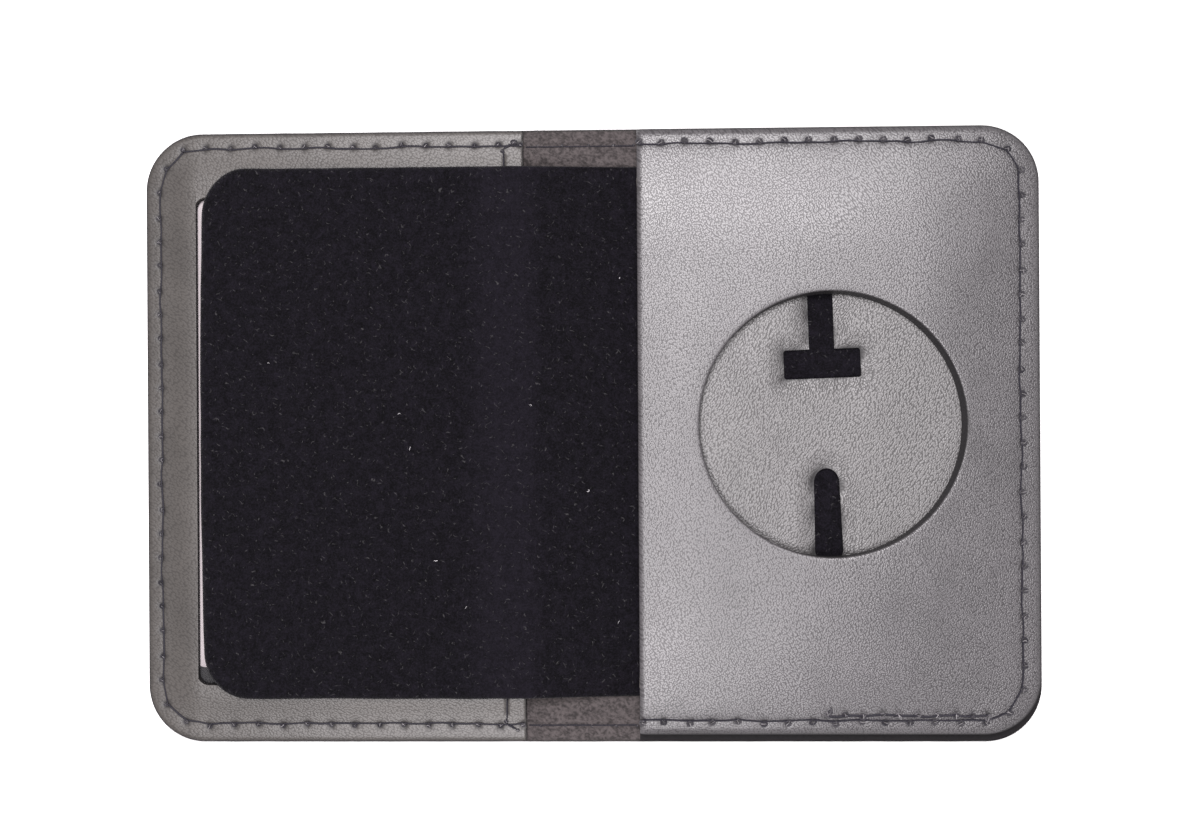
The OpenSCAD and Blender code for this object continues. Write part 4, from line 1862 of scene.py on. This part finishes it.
@dataclass
class Stitching:
    """All the thread: the edge seams, the spine's rows, the window's seam and the loose ends.

    Attributes:
        layout: The case's places.
        pocket: The ID half.
        panel: The badge half.
        window_stitches: How many stitches the window's seam has.
        spine_under: How far under the spine's upper side its lower stitches lie.
    """

    layout: Layout
    pocket: IdPocket
    panel: BadgePanel
    window_stitches: int = 24
    spine_under: float = 1.1

    def build(self) -> None:
        """Builds every thread piece."""
        lay, pocket, panel = self.layout, self.pocket, self.panel
        sunk = 0.02
        left_z = pocket.height(lay.seam_inset) - sunk
        right_z = panel.height(lay.seam_inset) - sunk
        self._edge("edge_thread_left", pocket.seam, left_z, "seam_left", "id_half", 0.32)
        self._edge("edge_thread_right", panel.seam, right_z, "seam_right", "badge_half", 0.45)
        self._spine("spine_thread_left", (lay.id_edge + 0.4, -9.1, -4.7, lay.spine_cut), lay.bend_left)
        self._spine("spine_thread_right", (lay.spine_cut, 4.3, lay.badge_edge - 0.5), lay.bend_right)
        self._window()
        self._backstitch()
        self._tails_left()
        self._tail_right()

    def _edge(self, name: str, seam: Seam, z: float, node: str, body: str, lump: float) -> None:
        """Sews one half's edge seam, over the leather and in the groove under the cover.

        Args:
            name: The piece's name.
            seam: The seam.
            z: The height of the leather at the seam.
            node: The node that the piece stands for.
            body: The body that it rides on.
            lump: The half width of the lump beside each hole.
        """
        sewer = Sewer(bmesh.new(), random.Random(name))
        over = level(seam.holes, z)
        for a, b in zip(over, over[1:]):
            sewer.stitch(a, b)
        for hole, inward in zip(over, seam.inward):
            sewer.knot(hole, -inward, lump)
        under = level(seam.holes, 0.3)
        for a, b in zip(under, under[1:]):
            sewer.under_stitch(a, b)
        Piece(name, Finish.THREAD, "thread", (node,), body).make(sewer.bm)

    def _spine(self, name: str, places: Sequence[float], bend: Bend) -> None:
        """Sews the two rows over one side of the spine.

        Args:
            name: The piece's name.
            places: The holes' places across the case.
            bend: The fold that the piece bends over.
        """
        lay = self.layout
        sewer = Sewer(bmesh.new(), random.Random(name), radius=0.13)
        for y in (lay.seam_y, -lay.seam_y):
            over = [Vector((x, y, lay.cover_top)) for x in places]
            for a, b in zip(over, over[1:]):
                sewer.stitch(a, b, 0.08, 0.03)
                sewer.under_stitch(a - UP * self.spine_under, b - UP * self.spine_under)
            for hole in over[1:]:
                sewer.knot(hole, Vector((0, math.copysign(1, y), 0)), 0.2, 0.06)
        Piece(name, Finish.THREAD, "thread", ("spine_seam",), bend=bend).make(sewer.bm)

    def _window(self) -> None:
        """Sews the seam beside the window, from row to row."""
        sewer = Sewer(bmesh.new(), random.Random(3), radius=0.15)
        top = self.layout.seam_y - 1.0
        chance = random.Random(8)
        holes = []
        for i in range(self.window_stitches + 1):
            y = -top + 2 * top * i / self.window_stitches
            x = self.pocket.seam_x + chance.uniform(-0.08, 0.08)
            holes.append(Vector((x, y, self.pocket.surface(y) - 0.1)))
        for a, b in zip(holes, holes[1:]):
            sewer.stitch(a, b, 0.1, 0.04)
        for hole in holes[1:-1]:
            sewer.knot(hole, Vector((1, 0, 0)), 0.18, 0.06)
        Piece("window_thread", Finish.THREAD, "thread", ("window_seam",), "id_half").make(sewer.bm)

    def _backstitch(self) -> None:
        """Sews the second row where the edge seam ends."""
        sewer = Sewer(bmesh.new(), random.Random(6), radius=0.22)
        chance = random.Random(2)
        # The back stitching's lumps are made pale as painted highlights.
        pale = 0.3
        holes = [Vector((p.x, p.y, self.panel.surface(p.x, p.y, 3.7) - 0.05)) for p in self.panel.seam.back]
        for a, b in zip(holes, holes[1:]):
            sewer.stitch(a, b, 0.14)
            sewer.knot(a, Vector((0, chance.uniform(-0.6, 0.6), 0)), 0.48, pale)
        sewer.knot(holes[-1], Vector((0, -1, 0)), 0.55, pale)
        Piece("backstitch_thread", Finish.THREAD, "thread", ("backstitch",), "badge_half").make(sewer.bm)

    def _tails_left(self) -> None:
        """Lays the knotted ends of the window's seam on the frame."""
        sewer = Sewer(bmesh.new(), random.Random(4))
        for sign, blob in ((1, 0.42), (-1, 0.25)):
            y = sign * self.layout.seam_y
            z = self.pocket.surface(y) + 0.12
            spot = Vector((-13.1, y + sign * 0.55, z))
            fork = Vector((-15.1, y - sign * 0.6, z + 0.1))
            end_y = y - sign * 1.6
            end = Vector((self.pocket.seam_x, end_y, self.pocket.surface(end_y)))
            sewer.knot(spot, Vector((0.3, sign * 0.2, 0)), blob)
            sewer.knot(spot, Vector((-0.4, sign * 0.4, 0)), blob * 0.8)
            strand(sewer.bm, (spot, spot.lerp(fork, 0.35) + UP * 0.1, spot.lerp(fork, 0.75), fork), 0.2)
            sewer.knot(fork, Vector((0, -sign, 0)), 0.3)
            strand(sewer.bm, (fork, fork.lerp(end, 0.5) + Vector((-0.1, 0, 0.08)), end), 0.18)
        ends = Piece("window_thread_ends", Finish.THREAD, "thread", ("thread_tails_left",), "id_half")
        ends.make(sewer.bm)

    def _tail_right(self) -> None:
        """Lays the loose end where the back stitching starts."""
        sewer = Sewer(bmesh.new(), random.Random(9))
        foot = self.panel.seam.foot_row
        z = self.panel.surface(41.5, foot + 1.0, 4.0)
        steps = ((41.5, 0.4, -0.3), (41.45, 1.2, 0.1), (41.6, 2.0, 0.25), (41.2, 2.5, 0.4))
        points = [Vector((x, foot + up, z + lift)) for x, up, lift in steps]
        strand(sewer.bm, points, 0.2, 5, 0.1)
        sewer.knot(points[1], Vector((0, 1, 0)), 0.35)
        Piece("loose_end", Finish.THREAD, "thread", ("thread_tail_right",), "badge_half").make(sewer.bm)


# The studio, in metres


@dataclass(frozen=True)
class SoftLight:
    """A soft light over the case."""

    name: str
    place: tuple[float, float, float]
    aim: tuple[float, float, float]
    size: tuple[float, float]
    power: float
    colour: Colour = (1.0, 0.965, 0.985)

    def hang(self) -> None:
        """Hangs the light in its place, facing its aim."""
        data = bpy.data.lights.new(self.name, "AREA")
        data.shape = "RECTANGLE"
        data.size, data.size_y = self.size
        data.energy = self.power
        data.color = self.colour
        light = bpy.data.objects.new(self.name, data)
        light.location = self.place
        light.rotation_euler = (Vector(self.place) - Vector(self.aim)).to_track_quat("Z", "Y").to_euler()
        bpy.context.scene.collection.objects.link(light)


@dataclass
class Studio:
    """The floor, the lights and the camera.

    Attributes:
        height: The camera's height.
        stand: The camera's place over the case.
        aim: The point that it faces.
        roll: The angle that it is turned by, in degrees.
        sensor: The width of its sensor, in millimetres.
        lights: The lights.
        sky: The colour of the light from all round.
        sky_power: The strength of that light.
        floor_half: Half the width of the floor.
        floor_drop: How far under the case the floor lies.
    """

    height: float = 0.3
    stand: tuple[float, float] = (0.0112, 0.0032)
    aim: tuple[float, float, float] = (0.00165, 0.0032, 0.001)
    roll: float = 0.35
    sensor: float = 36.0
    lights: tuple[SoftLight, ...] = (
        SoftLight("key_head", (0.008, 0.187, 0.5), (0.0, 0.035, 0.0), (0.235, 0.2), 3.4),
        SoftLight("key_foot", (-0.042, -0.182, 0.5), (-0.01, -0.035, 0.0), (0.15, 0.2), 2.25),
    )
    sky: tuple[float, float, float, float] = (1.0, 0.98, 0.99, 1)
    sky_power: float = 0.55
    floor_half: float = 2.0
    floor_drop: float = 0.0001

    def build(self) -> None:
        """Builds the studio."""
        self._floor()
        for light in self.lights:
            light.hang()
        world = bpy.data.worlds.new("studio")
        world.use_nodes = True
        world.node_tree.nodes["Background"].inputs["Color"].default_value = self.sky
        world.node_tree.nodes["Background"].inputs["Strength"].default_value = self.sky_power
        bpy.context.scene.world = world
        bpy.context.scene.view_settings.view_transform = "Standard"
        self._camera()

    def _floor(self) -> None:
        """Lays the pale floor just under the case."""
        bm = bmesh.new()
        bmesh.ops.create_grid(bm, x_segments=1, y_segments=1, size=self.floor_half)
        floor = as_object("studio_floor", bm)
        floor.data.materials.append(Finish.PAPER.material)
        floor.location.z = -self.floor_drop

    def _camera(self) -> None:
        """Hangs the camera over the case."""
        data = bpy.data.cameras.new("camera")
        place = Vector((*self.stand, self.height))
        aim = Vector(self.aim)
        data.sensor_width = self.sensor
        data.lens = self.sensor * (place - aim).length / (PHOTO_WIDTH * PIXEL * MM)
        data.clip_start = 0.01
        camera = bpy.data.objects.new("camera", data)
        look = (place - aim).normalized()
        up = look.cross(Vector((1, 0, 0))).normalized()
        turn = Matrix((up.cross(look), up, look)).transposed().to_4x4()
        roll = Matrix.Rotation(math.radians(-self.roll), 4, "Z")
        camera.matrix_world = Matrix.Translation(place) @ turn @ roll
        bpy.context.scene.collection.objects.link(camera)
        bpy.context.scene.camera = camera


def main() -> None:
    """Builds the case and its studio."""
    logging.basicConfig(level=logging.INFO, format="%(message)s")
    layout = Layout()
    left_seam = Seam(
        layout, -1, layout.id_edge, head_inset=3.0, side_inset=3.0, foot_inset=3.6,
        head_edge=0.35, side_edge=0.35, foot_edge=0.35,
    )
    right_seam = Seam(
        layout, 1, layout.badge_edge, head_inset=3.3, side_inset=4.2, foot_inset=4.4,
        head_edge=0.5, side_edge=0.7, foot_edge=1.8, back_from=41.0,
    )
    Studio().build()
    Cover(layout).build()
    pocket = IdPocket(layout, left_seam)
    pocket.build()
    panel = BadgePanel(layout, right_seam)
    panel.build()
    VelvetFlap(layout).build()
    Stitching(layout, pocket, panel).build()


if __name__ == "__main__":
    main()
